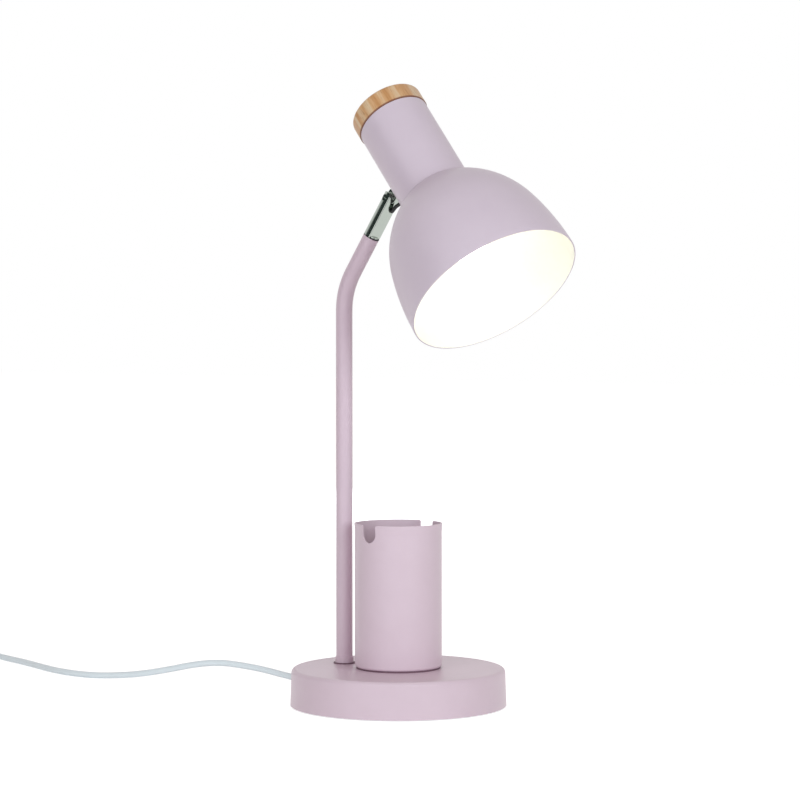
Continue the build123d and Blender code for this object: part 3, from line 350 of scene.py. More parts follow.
bpy.ops.object.select_all(action="DESELECT")
bpy.ops.mesh.primitive_plane_add(size=TABLE_SIZE, location=(0, 0, -TABLE_DROP))
table = bpy.context.active_object
table.name = "white_table"
table_matte = add_node(
    table_sheet, "ShaderNodeBsdfDiffuse", values={"Color": linear("#f4f4f4"), "Roughness": 0.0}
)
table_shine = add_node(
    table_sheet, "ShaderNodeEmission", values={"Color": linear("#ffffff"), "Strength": TABLE_SHINE}
)
table_bright = add_node(
    table_sheet, "ShaderNodeAddShader", links={0: table_matte.outputs[0], 1: table_shine.outputs[0]}
)
table_surface = add_node(
    table_sheet,
    "ShaderNodeMixShader",
    links={0: table_seen, 1: table_matte.outputs[0], 2: table_bright.outputs[0]},
)
connect(table_sheet, table_surface.outputs[0], table_output.inputs["Surface"])
table.data.materials.append(table_sheet)
print("table", TABLE_SIZE, "m across")

# %% [markdown]
# The room is even light from all around. The lamp gets a weak and slightly warm fill from it, as from
# the walls of a studio, and whoever looks at the room sees pure white.

# %% Room light
ROOM_FILL = 0.38

world = bpy.data.worlds.new("white_room")
bpy.context.scene.world = world
world.use_nodes = True
world.node_tree.nodes.clear()
world_output = add_node(world, "ShaderNodeOutputWorld")
room_fill = add_node(
    world, "ShaderNodeBackground", values={"Color": linear("#fff3f1"), "Strength": ROOM_FILL}
)
room_seen = add_node(world, "ShaderNodeBackground", values={"Color": linear("#ffffff"), "Strength": 1.0})
room_mix = add_node(
    world,
    "ShaderNodeMixShader",
    links={0: seen_rays(world), 1: room_fill.outputs[0], 2: room_seen.outputs[0]},
)
connect(world, room_mix.outputs[0], world_output.inputs["Surface"])
print("room fill", ROOM_FILL)

# %% [markdown]
# ## The soft boxes
#
# Three large soft boxes light the lamp: one to the left of the camera, one to its right, and a weaker
# one behind the lamp. Their light is a little cooler than the room's. They are hidden from mirror
# finishes, which would show them as hard squares.

# %% Soft boxes
BOX_LIGHT = (0.86, 0.975, 1.0)
BOXES = {
    "left_soft_box": ((0.29, -2.18, 0.7), 1.3, 19.0),
    "right_soft_box": ((2.04, -0.83, 0.7), 1.3, 19.0),
    "back_soft_box": ((-1.3, 1.75, 0.7), 1.1, 12.0),
}


def soft_box(name, place, size, power):
    """Square area lamp turned to the desk lamp, with place and size in metres and power in watts."""
    data = bpy.data.lights.new(name, "AREA")
    data.shape = "SQUARE"
    data.size = size
    data.energy = power
    data.color = BOX_LIGHT
    box = bpy.data.objects.new(name, data)
    bpy.context.collection.objects.link(box)
    box.location = place
    box.rotation_euler = (LAMP_MIDDLE - Vector(place)).to_track_quat("-Z", "Y").to_euler()
    box.visible_glossy = False


for box_name, (box_place, box_size, box_power) in BOXES.items():
    soft_box(box_name, box_place, box_size, box_power)
print("soft boxes:", ", ".join(BOXES))

# %% [markdown]
# ## The dark card
#
# Chrome in a white room is white and has no shape. A photographer sets a dark card beside it, and the
# card's mirror image draws a dark line along the round of the knuckle. Only mirror finishes see it.

# %% Dark card
CARD_PLACE = (-0.80, -0.36, 0.46)
CARD_WAY = Vector((1.05, 0.86, -0.1))
CARD_WIDTH = 0.95
CARD_HEIGHT = 0.5

bpy.ops.object.select_all(action="DESELECT")
bpy.ops.mesh.primitive_plane_add(size=1, location=CARD_PLACE)
dark_card = bpy.context.active_object
dark_card.name = "dark_card"
dark_card.scale = (CARD_WIDTH, CARD_HEIGHT, 1.0)
bpy.ops.object.transform_apply(location=False, rotation=False, scale=True)
dark_card.rotation_euler = CARD_WAY.to_track_quat("Z", "Y").to_euler()
dark_card.visible_camera = False
dark_card.visible_diffuse = False
dark_card.visible_shadow = False
print("dark card", CARD_WIDTH, "x", CARD_HEIGHT, "m")

# %% [markdown]
# The card's paper is a dark green-grey. It fades out on its far side, so that the dark line on the
# chrome has one sharp and one soft edge. The fade runs across the card, in metres from its middle.

# %% Card paper
FADE_START = -0.24
FADE_END = 0.26

card_paper, card_output = new_material("dark_card_paper")
card_face = add_node(
    card_paper, "ShaderNodeBsdfDiffuse", values={"Color": linear("#3a4846"), "Roughness": 0.5}
)
card_clear = add_node(card_paper, "ShaderNodeBsdfTransparent")
card_place = add_node(card_paper, "ShaderNodeTexCoord")
card_across = add_node(
    card_paper, "ShaderNodeSeparateXYZ", links={"Vector": card_place.outputs["Object"]}
)
card_fade = add_node(
    card_paper,
    "ShaderNodeMapRange",
    settings={"interpolation_type": "SMOOTHSTEP"},
    values={"From Min": FADE_START, "From Max": FADE_END},
    links={"Value": card_across.outputs["X"]},
)
card_soft = add_node(
    card_paper,
    "ShaderNodeMixShader",
    links={0: card_fade.outputs["Result"], 1: card_face.outputs[0], 2: card_clear.outputs[0]},
)
connect(card_paper, card_soft.outputs[0], card_output.inputs["Surface"])
dark_card.data.materials.append(card_paper)
print("the card fades over", FADE_END - FADE_START, "m")

# %% [markdown]
# ## Powder coat
#
# The steel parts are sprayed with a pale pink powder and baked. That skin is satin: it has no sharp
# reflections, a very fine orange-peel surface about 1.5 mm across and a faint unevenness in tone over
# some 20 mm. One recipe makes it, from two close tones.

# %% Powder coat
TONE_PATCH = 22.2
ORANGE_PEEL = 1.54
PEEL_DEPTH = 0.15


def powder_coat(name, colour, second_colour):
    """Satin baked powder on steel, with a fine orange peel and two close tones."""
    material, output = new_material(name)
    place = add_node(material, "ShaderNodeTexCoord")
    tone = add_node(
        material,
        "ShaderNodeTexNoise",
        values={"Scale": per_metre(TONE_PATCH), "Detail": 3.0, "Roughness": 0.6},
        links={"Vector": place.outputs["Object"]},
    )
    colour_mix = add_node(
        material,
        "ShaderNodeMix",
        settings={"data_type": "RGBA"},
        values={6: linear(colour), 7: linear(second_colour)},
        links={0: tone.outputs["Fac"]},
    )
    peel = add_node(
        material,
        "ShaderNodeTexNoise",
        values={"Scale": per_metre(ORANGE_PEEL), "Detail": 2.0, "Roughness": 0.5},
        links={"Vector": place.outputs["Object"]},
    )
    gloss = add_node(
        material,
        "ShaderNodeMapRange",
        values={"To Min": 0.34, "To Max": 0.42},
        links={"Value": peel.outputs["Fac"]},
    )
    bump = add_node(
        material,
        "ShaderNodeBump",
        values={"Strength": 0.14, "Distance": PEEL_DEPTH * MM},
        links={"Height": peel.outputs["Fac"]},
    )
    skin = add_node(
        material,
        "ShaderNodeBsdfPrincipled",
        values={"IOR": 1.65},
        links={
            "Base Color": colour_mix.outputs[2],
            "Roughness": gloss.outputs["Result"],
            "Normal": bump.outputs["Normal"],
        },
    )
    connect(material, skin.outputs[0], output.inputs["Surface"])
    return material


print("orange peel", ORANGE_PEEL, "mm, scale", round(per_metre(ORANGE_PEEL)))

# %% [markdown]
# The head and the pole have the same pink powder as the base, but their copies are painted a little cooler
# and bluer, the head most: painted light, for the whiter light that the upper parts catch. A piece whose
# shape is right keeps its mesh and only gets a finish, so one helper puts a finish in place of the plain
# colour that a piece was packed with. The shade is made further on, and takes the head's coat there.

# %% Coated pieces
def paint(material, *node_names):
    """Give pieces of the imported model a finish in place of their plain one."""
    for name in node_names:
        slots = nodes[name].data.materials
        slots.clear()
        slots.append(material)
    print(material.name, "on", ", ".join(node_names))


# Painted light: the pole's and the head's copies of the one pink powder are cooler and bluer for the whiter
# light that they catch higher up.
pink_powder = powder_coat("pink_powder_coat", "#d3bcc8", "#dac4d0")
pole_powder_painted_light = powder_coat("pole_powder_coat", "#d1b9c7", "#d8c1cd")
head_powder_painted_light = powder_coat("lilac_pink_powder_coat", "#cebdcb", "#d4c4d0")

paint(pink_powder, "base_cover", "pen_cup")
paint(pole_powder_painted_light, "pole", "pole_collar")
paint(head_powder_painted_light, "neck")

# %% [markdown]
# ## The dome shade
#
# The shade is spun from thin sheet steel: a disc is pressed over a turning form, its edge is trimmed and
# rounded, and it is sprayed pink outside and white inside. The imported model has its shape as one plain
# shell. Here it is made the way it is spun, from one ring that is extruded up the form step by step, so
# that it gets a wall of even thickness, a rounded rim with the pink powder carried over it, and a second
# finish inside.
#
# The form is two arcs: a long flat one from the rim up, and a tighter one over the shoulder to the neck.
# Both centres lie on one line with the point where the arcs meet, so there is no corner between them.

# %% Form of the shade
OPENING_RADIUS = 64.8
SIDE_RADIUS = 192.0
SIDE_DEPTH = 46.5
SIDE_RINGS = 12
SHOULDER_RADIUS = 78.6
SHOULDER_RINGS = 26
COLLAR_RADIUS = 25.95
COLLAR_HEIGHT = 6.0

side_centre = Vector((OPENING_RADIUS - SIDE_RADIUS, 0.0))
side_lean = math.asin(SIDE_DEPTH / SIDE_RADIUS)
shoulder_way = Vector((math.cos(side_lean), math.sin(side_lean)))
shoulder_centre = side_centre + (SIDE_RADIUS - SHOULDER_RADIUS) * shoulder_way
top_lean = math.acos((COLLAR_RADIUS - shoulder_centre.x) / SHOULDER_RADIUS)


def arc_points(centre, radius, start, end, count):
    """Radius and height along an arc of the form, without its first point."""
    points = []
    for index in range(1, count + 1):
        angle = start + (end - start) * index / count
        points.append((centre.x + radius * math.cos(angle), centre.y + radius * math.sin(angle)))
    return points


shade_form = [(OPENING_RADIUS, 0.0)]
shade_form += arc_points(side_centre, SIDE_RADIUS, 0.0, side_lean, SIDE_RINGS)
shade_form += arc_points(shoulder_centre, SHOULDER_RADIUS, side_lean, top_lean, SHOULDER_RINGS)
shade_form.append((COLLAR_RADIUS, shade_form[-1][1] + COLLAR_HEIGHT))
print("shade depth", round(shade_form[-1][1], 1), "mm, rings", len(shade_form))

# %% [markdown]
# A turned or spun piece is one ring after another. The helper adds a circle, extrudes its edge along the
# axis and resizes each new ring, and then makes all faces look the same way.

# %% Turned shell
SHADE_SIDES = 160


def turned_shell(name, form, vertices):
    """Open shell about the Z axis through rings of given radius and height, in millimetres."""
    bpy.ops.object.select_all(action="DESELECT")
    bpy.ops.mesh.primitive_circle_add(
        vertices=vertices, radius=form[0][0] * MM, location=(0, 0, form[0][1] * MM)
    )
    piece = bpy.context.active_object
    piece.name = name
    bpy.ops.object.transform_apply(location=True, rotation=True, scale=True)
    bpy.ops.object.mode_set(mode="EDIT")
    bpy.ops.mesh.select_all(action="SELECT")
    for (radius, height), (next_radius, next_height) in zip(form, form[1:]):
        rise = (next_height - height) * MM
        bpy.ops.mesh.extrude_region_move(TRANSFORM_OT_translate={"value": (0, 0, rise)})
        step = next_radius / radius
        bpy.ops.transform.resize(value=(step, step, 1))
    bpy.ops.mesh.select_all(action="SELECT")
    bpy.ops.mesh.normals_make_consistent(inside=False)
    bpy.ops.object.mode_set(mode="OBJECT")
    return piece


shade = turned_shell("shade", shade_form, SHADE_SIDES)
print("shade shell faces", len(shade.data.polygons))

# %% [markdown]
# An open shell has no inside, so Blender may turn all its faces to the axis. Then they are flipped,
# because the wall grows inwards from the side that the faces look away from.

# %% Faces outwards
def face_outwards(piece):
    """Flip an open shell whose faces point to its axis."""
    outward = 0.0
    for face in piece.data.polygons:
        outward += face.normal.x * face.center.x + face.normal.y * face.center.y
    if outward < 0:
        bpy.ops.object.mode_set(mode="EDIT")
        bpy.ops.mesh.select_all(action="SELECT")
        bpy.ops.mesh.flip_normals()
        bpy.ops.object.mode_set(mode="OBJECT")


face_outwards(shade)
first_face = shade.data.polygons[0]
print("first face looks outwards:", first_face.normal.dot(first_face.center) > 0)

# %% [markdown]
# The inside of the shade has white enamel, which throws the bulb's light forward. It is sprayed on wet
# and flows out, so it is smoother than the powder outside.

# %% White enamel
ENAMEL_FLOW = 3.03
ENAMEL_DEPTH = 0.1


def white_enamel():
    """Sprayed white enamel with a faint flow texture about 3 mm across."""
    material, output = new_material("white_enamel")
    place = add_node(material, "ShaderNodeTexCoord")
    flow = add_node(
        material,
        "ShaderNodeTexNoise",
        values={"Scale": per_metre(ENAMEL_FLOW), "Detail": 1.5, "Roughness": 0.4},
        links={"Vector": place.outputs["Object"]},
    )
    tone = add_node(
        material,
        "ShaderNodeMix",
        settings={"data_type": "RGBA"},
        values={6: linear("#f3f1ea"), 7: linear("#f8f6f0")},
        links={0: flow.outputs["Fac"]},
    )
    bump = add_node(
        material,
        "ShaderNodeBump",
        values={"Strength": 0.1, "Distance": ENAMEL_DEPTH * MM},
        links={"Height": flow.outputs["Fac"]},
    )
    skin = add_node(
        material,
        "ShaderNodeBsdfPrincipled",
        values={"Roughness": 0.32, "IOR": 1.5},
        links={"Base Color": tone.outputs[2], "Normal": bump.outputs["Normal"]},
    )
    connect(material, skin.outputs[0], output.inputs["Surface"])
    return material


shade.data.materials.append(head_powder_painted_light)
shade.data.materials.append(white_enamel())
print("finishes of the shade:", ", ".join(material.name for material in shade.data.materials))

# %% [markdown]
# The wall grows inwards from the form, and its new inner faces take the second finish while the rim keeps
# the first. A small bevel rounds the rim. Then the shade is laid over onto the head's axis.

# %% Shade
SHADE_WALL = 1.0
RIM_ROUND = 0.42


def lay_in_place(piece, place):
    """Put a piece modelled upright at the origin into a tilted frame, with its place in its mesh."""
    piece.matrix_world = place
    bpy.ops.object.transform_apply(location=True, rotation=True, scale=True)


wall = shade.modifiers.new("wall", "SOLIDIFY")
wall.thickness = SHADE_WALL * MM
wall.offset = -1.0
wall.use_even_offset = True
wall.material_offset = 1
wall.material_offset_rim = 0
rim = shade.modifiers.new("rounded_rim", "BEVEL")
rim.width = RIM_ROUND * MM
rim.segments = 4
rim.limit_method = "ANGLE"
rim.angle_limit = math.radians(60)
for modifier_name in [modifier.name for modifier in shade.modifiers]:
    bpy.ops.object.modifier_apply(modifier=modifier_name)
bpy.ops.object.shade_smooth_by_angle(angle=math.radians(35))
lay_in_place(shade, head_place)
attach(shade, "head")
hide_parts("shade_dome")
print("shade faces", len(shade.data.polygons))

# %% [markdown]
# ## Wood
#
# The end cap is turned from a pale hardwood with its grain along the head's axis, and oiled. The grain
# shows as orange-brown streaks a few millimetres apart up the cap's side and as growth rings on its end,
# with fine dark pores along the grain. The pattern is laid in the head's own frame, so the streaks follow
# the cap.
#
# Streaks and fibres are noise drawn out ten times along the grain. Growth rings are round about the pith,
# the middle of the tree, which was 6 cm to one side of the cap. A wave texture makes a ring in every
# pi / 10 of its own length, so that share stands in its scale. The rings have a small share in the tone
# beside the streaks, and the fibres a larger one over both.

# %% Wood grain
STREAK = 8.7
FIBRE = 2.38
FIBRE_SHARE = 0.3
GROWTH_RING = 9.24
RING_SHARE = 0.2
RINGS_ALONG = 0.12
PITH = Vector((55.0, 21.0, 0.0))


def wood_grain(material, place, along):
    """Streaks alone, and streaks, growth rings and fibres mixed to one tone, as two sockets."""
    streaks = add_node(
        material,
        "ShaderNodeTexNoise",
        values={"Scale": per_metre(STREAK), "Detail": 5.0, "Roughness": 0.6, "Distortion": 0.6},
        links={"Vector": along},
    )
    pith = add_node(
        material,
        "ShaderNodeMapping",
        values={"Location": PITH * MM, "Scale": (1.0, 1.0, RINGS_ALONG)},
        links={"Vector": place},
    )
    ring_scale = per_metre(GROWTH_RING) * math.pi / 10
    rings = add_node(
        material,
        "ShaderNodeTexWave",
        settings={"wave_type": "RINGS", "rings_direction": "Z", "wave_profile": "SIN"},
        values={"Scale": ring_scale, "Distortion": 1.6, "Detail": 2.0, "Detail Scale": 0.9},
        links={"Vector": pith.outputs["Vector"]},
    )
    fibres = add_node(
        material,
        "ShaderNodeTexNoise",
        values={"Scale": per_metre(FIBRE), "Detail": 3.0, "Roughness": 0.6, "Distortion": 0.2},
        links={"Vector": along},
    )
    broad = add_node(
        material,
        "ShaderNodeMix",
        settings={"data_type": "FLOAT"},
        values={0: RING_SHARE},
        links={2: streaks.outputs["Fac"], 3: rings.outputs["Fac"]},
    )
    tone = add_node(
        material,
        "ShaderNodeMix",
        settings={"data_type": "FLOAT"},
        values={0: FIBRE_SHARE},
        links={2: broad.outputs[0], 3: fibres.outputs["Fac"]},
    )
    return streaks.outputs["Fac"], tone.outputs[0]


print("wood streaks", STREAK, "mm wide, growth rings", GROWTH_RING, "mm apart")

# %% [markdown]
# Pores show only where their noise is at its brightest, as dark dashes some 0.7 mm wide and ten times as
# long. Along the seam against the steel a dark red-brown band is painted, as painted shade for the seam. It
# is found by its height above the shade's opening.

# %% Wood pores and painted seam shade
PORE = 0.667
SEAM_SHADE_FULL = 164.5
SEAM_SHADE_CLEAR = 165.2


def pores_and_seam_shade(material, colour, place, along):
    """Colour of the wood with its dark pores and a painted seam shade mixed over it, as a socket."""
    pores = add_node(
        material,
        "ShaderNodeTexNoise",
        values={"Scale": per_metre(PORE), "Detail": 1.0, "Roughness": 0.5},
        links={"Vector": along},
    )
    pore_mask = add_node(
        material,
        "ShaderNodeMapRange",
        values={"From Min": 0.62, "From Max": 0.72, "To Min": 0.0, "To Max": 0.45},
        links={"Value": pores.outputs["Fac"]},
    )
    with_pores = add_node(
        material,
        "ShaderNodeMix",
        settings={"data_type": "RGBA"},
        values={7: linear("#8a5a38")},
        links={0: pore_mask.outputs["Result"], 6: colour},
    )
    height = add_node(material, "ShaderNodeSeparateXYZ", links={"Vector": place})
    # Painted shade: a dark red-brown band along the seam where the wood meets the steel.
    painted_seam_shade = add_node(
        material,
        "ShaderNodeMapRange",
        values={"From Min": SEAM_SHADE_FULL * MM, "From Max": SEAM_SHADE_CLEAR * MM, "To Min": 0.85, "To Max": 0.0},
        links={"Value": height.outputs["Z"]},
    )
    with_seam_shade = add_node(
        material,
        "ShaderNodeMix",
        settings={"data_type": "RGBA"},
        values={7: linear("#6f3a28")},
        links={0: painted_seam_shade.outputs["Result"], 6: with_pores.outputs[2]},
    )
    return with_seam_shade.outputs[2]


print("burnished edge", round(SEAM_SHADE_CLEAR - SEAM_SHADE_FULL, 1), "mm wide")

# %% [markdown]
# The whole wood: the mixed tone is coloured from orange-brown through tan to a pale straw, the pores and
# the painted seam shade come over it, and the streaks stand up a little under the oil.

# %% Oiled wood
ALONG_GRAIN = 0.1
STREAK_RELIEF = 0.2


def oiled_wood():
    """Oiled pale hardwood with its grain along the head's axis."""
    material, output = new_material("oiled_pale_wood")
    world_place = add_node(material, "ShaderNodeTexCoord")
    to_head = head_place.inverted()
    head_frame = add_node(
        material,
        "ShaderNodeMapping",
        values={"Location": to_head.to_translation(), "Rotation": to_head.to_euler()},
        links={"Vector": world_place.outputs["Object"]},
    )
    drawn_out = add_node(
        material,
        "ShaderNodeMapping",
        values={"Scale": (1.0, 1.0, ALONG_GRAIN)},
        links={"Vector": head_frame.outputs["Vector"]},
    )
    place = head_frame.outputs["Vector"]
    along = drawn_out.outputs["Vector"]
    streaks, tone = wood_grain(material, place, along)
    colours = add_node(material, "ShaderNodeValToRGB", links={"Fac": tone})
    ramp = colours.color_ramp
    ramp.elements[0].position = 0.38
    ramp.elements[0].color = linear("#bd8753")
    ramp.elements[1].position = 0.6
    ramp.elements[1].color = linear("#d7b995")
    middle = ramp.elements.new(0.48)
    middle.color = linear("#cfa072")
    bump = add_node(
        material,
        "ShaderNodeBump",
        values={"Strength": 0.25, "Distance": STREAK_RELIEF * MM},
        links={"Height": streaks},
    )
    skin = add_node(
        material,
        "ShaderNodeBsdfPrincipled",
        values={"Roughness": 0.4, "IOR": 1.55},
        links={
            "Base Color": pores_and_seam_shade(material, colours.outputs["Color"], place, along),
            "Normal": bump.outputs["Normal"],
        },
    )
    connect(material, skin.outputs[0], output.inputs["Surface"])
    return material


paint(oiled_wood(), "wood_cap")

# %% [markdown]
# ## Chrome and bare metals
#
# The knuckle is cast and chrome plated. Chrome is a near mirror, so what shows is the room: the white
# ground on its flat front and the dark card on its side. Zinc-plated steel, on the screws, nuts and
# plates, is duller and has a faint yellow and blue cast. Brass is in the lampholder and the switch, and
# the bulb's cap is plain aluminium. One recipe serves them all: a metal with two close tones in patches,
# a roughness that wanders between two values with the patches, and a fine bump.

# %% Metals
METAL_DEPTH = 0.1


def bare_metal(name, colour, second_colour, roughness, patch, grain, strength):
    """Metal with two close tones, uneven polish and a fine grain, its patch and grain in millimetres."""
    material, output = new_material(name)
    place = add_node(material, "ShaderNodeTexCoord")
    patches = add_node(
        material,
        "ShaderNodeTexNoise",
        values={"Scale": per_metre(patch), "Detail": 3.0, "Roughness": 0.55},
        links={"Vector": place.outputs["Object"]},
    )
    tone = add_node(
        material,
        "ShaderNodeMix",
        settings={"data_type": "RGBA"},
        values={6: linear(colour), 7: linear(second_colour)},
        links={0: patches.outputs["Fac"]},
    )
    polish = add_node(
        material,
        "ShaderNodeMapRange",
        values={"To Min": roughness[0], "To Max": roughness[1]},
        links={"Value": patches.outputs["Fac"]},
    )
    fine = add_node(
        material,
        "ShaderNodeTexNoise",
        values={"Scale": per_metre(grain), "Detail": 2.0, "Roughness": 0.5},
        links={"Vector": place.outputs["Object"]},
    )
    bump = add_node(
        material,
        "ShaderNodeBump",
        values={"Strength": strength, "Distance": METAL_DEPTH * MM},
        links={"Height": fine.outputs["Fac"]},
    )
    skin = add_node(
        material,
        "ShaderNodeBsdfPrincipled",
        values={"Metallic": 1.0},
        links={
            "Base Color": tone.outputs[2],
            "Roughness": polish.outputs["Result"],
            "Normal": bump.outputs["Normal"],
        },
    )
    connect(material, skin.outputs[0], output.inputs["Surface"])
    return material


print("metal grain", METAL_DEPTH, "mm deep")

# %% [markdown]
# Chrome is the smoothest and has the faintest grain. The plated and rolled metals are duller, with a
# finer and stronger grain.

# %% Metal pieces
chrome = bare_metal("chrome_plating", "#a6aea7", "#b0b7b0", (0.1, 0.17), 8.33, 1.11, 0.02)
zinc_steel = bare_metal("zinc_plated_steel", "#aab2ba", "#bdb9a8", (0.26, 0.42), 7.14, 0.667, 0.12)
brass = bare_metal("rolled_brass", "#c7a455", "#b08f4a", (0.2, 0.38), 6.25, 0.556, 0.1)
aluminium = bare_metal("drawn_aluminium", "#c9cacc", "#bfc0c2", (0.25, 0.35), 6.25, 0.667, 0.1)

paint(chrome, "knuckle", "pivot_screw", "head_bracket")
paint(zinc_steel, "base_plate", "plate_screws", "cord_clamp", "clamp_screws", "cup_washer", "cup_screw")
paint(zinc_steel, "pole_insert", "threaded_rod", "rod_washer", "rod_nut", "set_screw", "switch_screws")
paint(zinc_steel, "cap_screws", "carrier_plate", "holder_rod", "holder_nut")
paint(brass, "switch_contacts", "plug_pins", "screw_shell", "centre_contact", "bulb_button")
paint(aluminium, "bulb_cap")

# %% [markdown]
# ## Cast iron, rubber, foam and plastics
#
# The rest are dull or satin solids that differ in colour, in gloss and in the size of their grain. One
# recipe covers them: a base tone that wanders a little, and a grain given by its real size and depth in
# millimetres. The gloss wanders with the grain.

# %% Grained solids
CLOUD = 14.3
GLOSS_SPREAD = 0.05


def grained_solid(name, colour, second_colour, roughness, grain, strength, depth):
    """Rubber, plastic, foam or rough metal, with a grain of a real size and depth in millimetres."""
    material, output = new_material(name)
    place = add_node(material, "ShaderNodeTexCoord")
    cloud = add_node(
        material,
        "ShaderNodeTexNoise",
        values={"Scale": per_metre(CLOUD), "Detail": 3.0, "Roughness": 0.6},
        links={"Vector": place.outputs["Object"]},
    )
    tone = add_node(
        material,
        "ShaderNodeMix",
        settings={"data_type": "RGBA"},
        values={6: linear(colour), 7: linear(second_colour)},
        links={0: cloud.outputs["Fac"]},
    )
    grains = add_node(
        material,
        "ShaderNodeTexNoise",
        values={"Scale": per_metre(grain), "Detail": 2.0, "Roughness": 0.6},
        links={"Vector": place.outputs["Object"]},
    )
    gloss = add_node(
        material,
        "ShaderNodeMapRange",
        values={"To Min": roughness - GLOSS_SPREAD, "To Max": roughness + GLOSS_SPREAD},
        links={"Value": grains.outputs["Fac"]},
    )
    bump = add_node(
        material,
        "ShaderNodeBump",
        values={"Strength": strength, "Distance": depth * MM},
        links={"Height": grains.outputs["Fac"]},
    )
    skin = add_node(
        material,
        "ShaderNodeBsdfPrincipled",
        values={"IOR": 1.5},
        links={
            "Base Color": tone.outputs[2],
            "Roughness": gloss.outputs["Result"],
            "Normal": bump.outputs["Normal"],
        },
    )
    connect(material, skin.outputs[0], output.inputs["Surface"])
    return material


print("tone wanders over", CLOUD, "mm")

# %% [markdown]
# The weight in the base is rough sand-cast iron. The washers at the joint and the bush are black rubber.
# The thin rings under the cup and under the pole are rubber tinted dark mauve, as painted shade: the pink
# shadow in the narrow gaps under the cup and the pole. The pad under the base is closed-cell foam and the
# lampholder is black moulded phenolic. The plug, the switch and the strain relief are white plastic with
# the fine even texture of an etched mould, and the cord's sheath is softer and smoother. The short lead's
# sheath and the glass at the bulb's foot are black.

# %% Dull and satin materials
# Painted shade: the dark mauve of these rubber rings stands for the pink shadow in the gaps under the cup
# and the pole.
gasket_painted_shade_rubber = grained_solid("mauve_gasket_rubber", "#6b505d", "#745866", 0.6, 0.6, 0.3, 0.1)
cast_iron = grained_solid("sand_cast_iron", "#38393d", "#2c2d30", 0.7, 0.8, 0.6, 0.3)
black_rubber = grained_solid("black_rubber", "#1c1b1e", "#232225", 0.6, 0.6, 0.3, 0.1)
foam_pad = grained_solid("closed_cell_foam", "#2b2b2f", "#242427", 0.9, 0.9, 0.8, 0.3)
black_phenolic = grained_solid("black_phenolic", "#1b1b1d", "#212123", 0.42, 0.5, 0.15, 0.1)
white_plastic = grained_solid("etched_white_plastic", "#e3e7e8", "#dde2e4", 0.42, 0.5, 0.3, 0.05)
cord_sheath = grained_solid("soft_white_cord_sheath", "#e6eff4", "#edf4f8", 0.38, 0.9, 0.2, 0.05)
black_sheath = grained_solid("black_lead_sheath", "#080809", "#0d0d0f", 0.34, 0.9, 0.15, 0.05)
black_glass = grained_solid("black_glass", "#0b0b10", "#101016", 0.1, 1.5, 0.05, 0.05)

paint(cast_iron, "base_weight")
paint(black_rubber, "swivel_washer", "friction_washers", "lead_bush")
paint(gasket_painted_shade_rubber, "cup_gasket", "foot_washer")
paint(foam_pad, "base_pad")
paint(black_phenolic, "holder_front", "holder_rear", "holder_block")
paint(white_plastic, "cord_bushing", "switch_lower", "switch_upper", "switch_rocker", "plug_body")
paint(cord_sheath, "inner_cord")
paint(black_sheath, "knuckle_lead", "holder_lead")
paint(black_glass, "bulb_base")
cord.data.materials.append(cord_sheath)

# %% [markdown]
# ## The bulb
#
# A small opal globe of 45 mm is lit in the shade. Opal glass is milky all through, so the lit bulb is an
# even warm white ball with no filament to see. Its glow fills the white inside of the shade until that is
# nearly pure white, a little yellow toward the edge, as in the photograph. The glass itself is made to
# glow, which gives this light without a lamp inside it.

# %% Opal glass
MILK_CLOUD = 11.1
BULB_GLOW = 2.9


def opal_glass():
    """Lit opal glass: a milky skin with a warm glow, even but for faint clouds."""
    material, output = new_material("lit_opal_glass")
    place = add_node(material, "ShaderNodeTexCoord")
    milk = add_node(
        material,
        "ShaderNodeTexNoise",
        values={"Scale": per_metre(MILK_CLOUD), "Detail": 2.0, "Roughness": 0.5},
        links={"Vector": place.outputs["Object"]},
    )
    glow = add_node(
        material,
        "ShaderNodeMix",
        settings={"data_type": "RGBA"},
        values={6: linear("#fdfde8"), 7: linear("#fefef0")},
        links={0: milk.outputs["Fac"]},
    )
    skin = add_node(
        material,
        "ShaderNodeBsdfPrincipled",
        values={
            "Base Color": linear("#fbf8f0"),
            "Roughness": 0.22,
            "IOR": 1.5,
            "Emission Strength": BULB_GLOW,
        },
        links={"Emission Color": glow.outputs[2]},
    )
    connect(material, skin.outputs[0], output.inputs["Surface"])
    return material


paint(opal_glass(), "bulb_glass")

# %% [markdown]
# ## The black lead at the knuckle
#
# A short black lead comes out of a hole in the knuckle's flat front, hugs it, and enters the back of the
# neck through a rubber bush. On the real lamp it bends when the head tilts. It is a round line with its
# control points in the knuckle's frame, made a mesh. The imported model has only a straight stub of it,
# which it replaces.

# %% Black lead
LEAD_DIAMETER = 2.8
LEAD_STEPS = 10
lead_route = [
    (0.6, 2.6, 70.4),
    (3.0, 2.6, 70.4),
    (4.5, 2.6, 70.7),
    (4.9, 2.6, 73.2),
    (5.5, 2.6, 75.8),
    (7.1, 2.6, 78.1),
    (9.3, 2.6, 82.6),
    (10.3, 2.6, 85.6),
]
lead_places = [knuckle_place @ (Vector(point) * MM) for point in lead_route]
bent_lead = round_line("bent_lead", lead_places, LEAD_DIAMETER, LEAD_STEPS)
bpy.ops.object.select_all(action="DESELECT")
bent_lead.select_set(True)
bpy.context.view_layer.objects.active = bent_lead
bpy.ops.object.convert(target="MESH")
bent_lead.data.materials.append(black_sheath)
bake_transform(bent_lead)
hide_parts("hinge_lead")
print("bent lead faces", len(bent_lead.data.polygons))

# %% [markdown]
# ## The strain relief
#
# Where the cord leaves the base, a soft plastic sleeve keeps it from bending sharply. It tapers, and ring
# grooves let it flex. A flange lies against the cover and a lock behind the cover keeps it there. The
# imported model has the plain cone. Here it is turned again with its grooves. Its form is radius and height
# in millimetres, and the height counts outwards from the back of the cover.

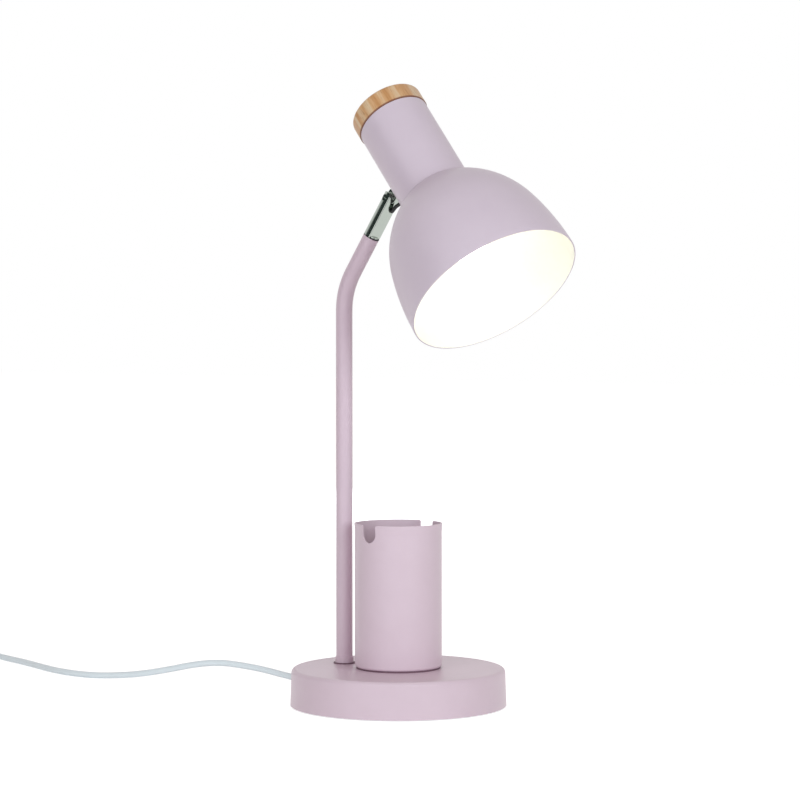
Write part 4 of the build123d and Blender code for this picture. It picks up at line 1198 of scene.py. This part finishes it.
# %% Form of the strain relief
SLEEVE_REACH = 12.0
BORE_RADIUS = 2.53
TIP_RADIUS = 3.3
ROOT_RADIUS = 4.5
FLANGE_RADIUS = 5.5
FLANGE_THICKNESS = 1.8
FLANGE_SEAT = 0.05
NECK_RADIUS = 3.7
LOCK_RADIUS = 4.6
LOCK_FRONT = -1.9
LOCK_BACK = -3.7
SOFT_EDGE = 0.3
TIP_FACE = 0.4
GROOVES = 4
FIRST_GROOVE = 1.2
GROOVE_STEP = 2.1
GROOVE_DEPTH = 0.55
GROOVE_WIDTH = 0.7
GROOVE_RISE = 0.05
NEXT_RIB = 1.0
RIB_GROWTH = 0.2

sleeve_form = [
    (BORE_RADIUS, SLEEVE_REACH),
    (TIP_RADIUS - TIP_FACE, SLEEVE_REACH),
    (TIP_RADIUS, SLEEVE_REACH - SOFT_EDGE),
]
for index in range(GROOVES):
    high = SLEEVE_REACH - FIRST_GROOVE - index * GROOVE_STEP
    rib = TIP_RADIUS + (SLEEVE_REACH - high) / SLEEVE_REACH * (ROOT_RADIUS - TIP_RADIUS)
    sleeve_form += [
        (rib, high + SOFT_EDGE),
        (rib - GROOVE_DEPTH, high),
        (rib - GROOVE_DEPTH + GROOVE_RISE, high - GROOVE_WIDTH),
        (rib + RIB_GROWTH, high - NEXT_RIB),
    ]
sleeve_form += [
    (ROOT_RADIUS, FLANGE_THICKNESS),
    (FLANGE_RADIUS - SOFT_EDGE, FLANGE_THICKNESS),
    (FLANGE_RADIUS, FLANGE_THICKNESS - SOFT_EDGE),
    (FLANGE_RADIUS, FLANGE_SEAT),
    (NECK_RADIUS, FLANGE_SEAT),
    (NECK_RADIUS, LOCK_FRONT),
    (LOCK_RADIUS, LOCK_FRONT),
    (LOCK_RADIUS, LOCK_BACK),
    (BORE_RADIUS, LOCK_BACK),
]
print("strain relief rings", len(sleeve_form))

# %% [markdown]
# The form starts and ends on the bore. A bridge between its two open rings closes the shell, and that
# bridge is the bore in which the cord lies. The sleeve is laid over so that its axis runs straight out of
# the back of the base.

# %% Strain relief
COVER_BACK = Vector((-80.0, 0.0, 13.3)) * MM
SLEEVE_SIDES = 64

sleeve = turned_shell("strain_relief", sleeve_form, SLEEVE_SIDES)
bpy.ops.object.mode_set(mode="EDIT")
bpy.ops.mesh.select_all(action="DESELECT")
bpy.ops.mesh.select_mode(type="EDGE")
bpy.ops.mesh.select_non_manifold()
bpy.ops.mesh.bridge_edge_loops()
bpy.ops.mesh.select_all(action="SELECT")
bpy.ops.mesh.normals_make_consistent(inside=False)
bpy.ops.object.mode_set(mode="OBJECT")
bpy.ops.object.shade_smooth_by_angle(angle=math.radians(40))
sleeve_place = frame_matrix(COVER_BACK, Vector((0, 0, 1)), Vector((0, -1, 0)), Vector((-1, 0, 0)))
lay_in_place(sleeve, sleeve_place)
sleeve.data.materials.append(white_plastic)
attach(sleeve, "base")
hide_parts("cord_bushing")
print("strain relief faces", len(sleeve.data.polygons))
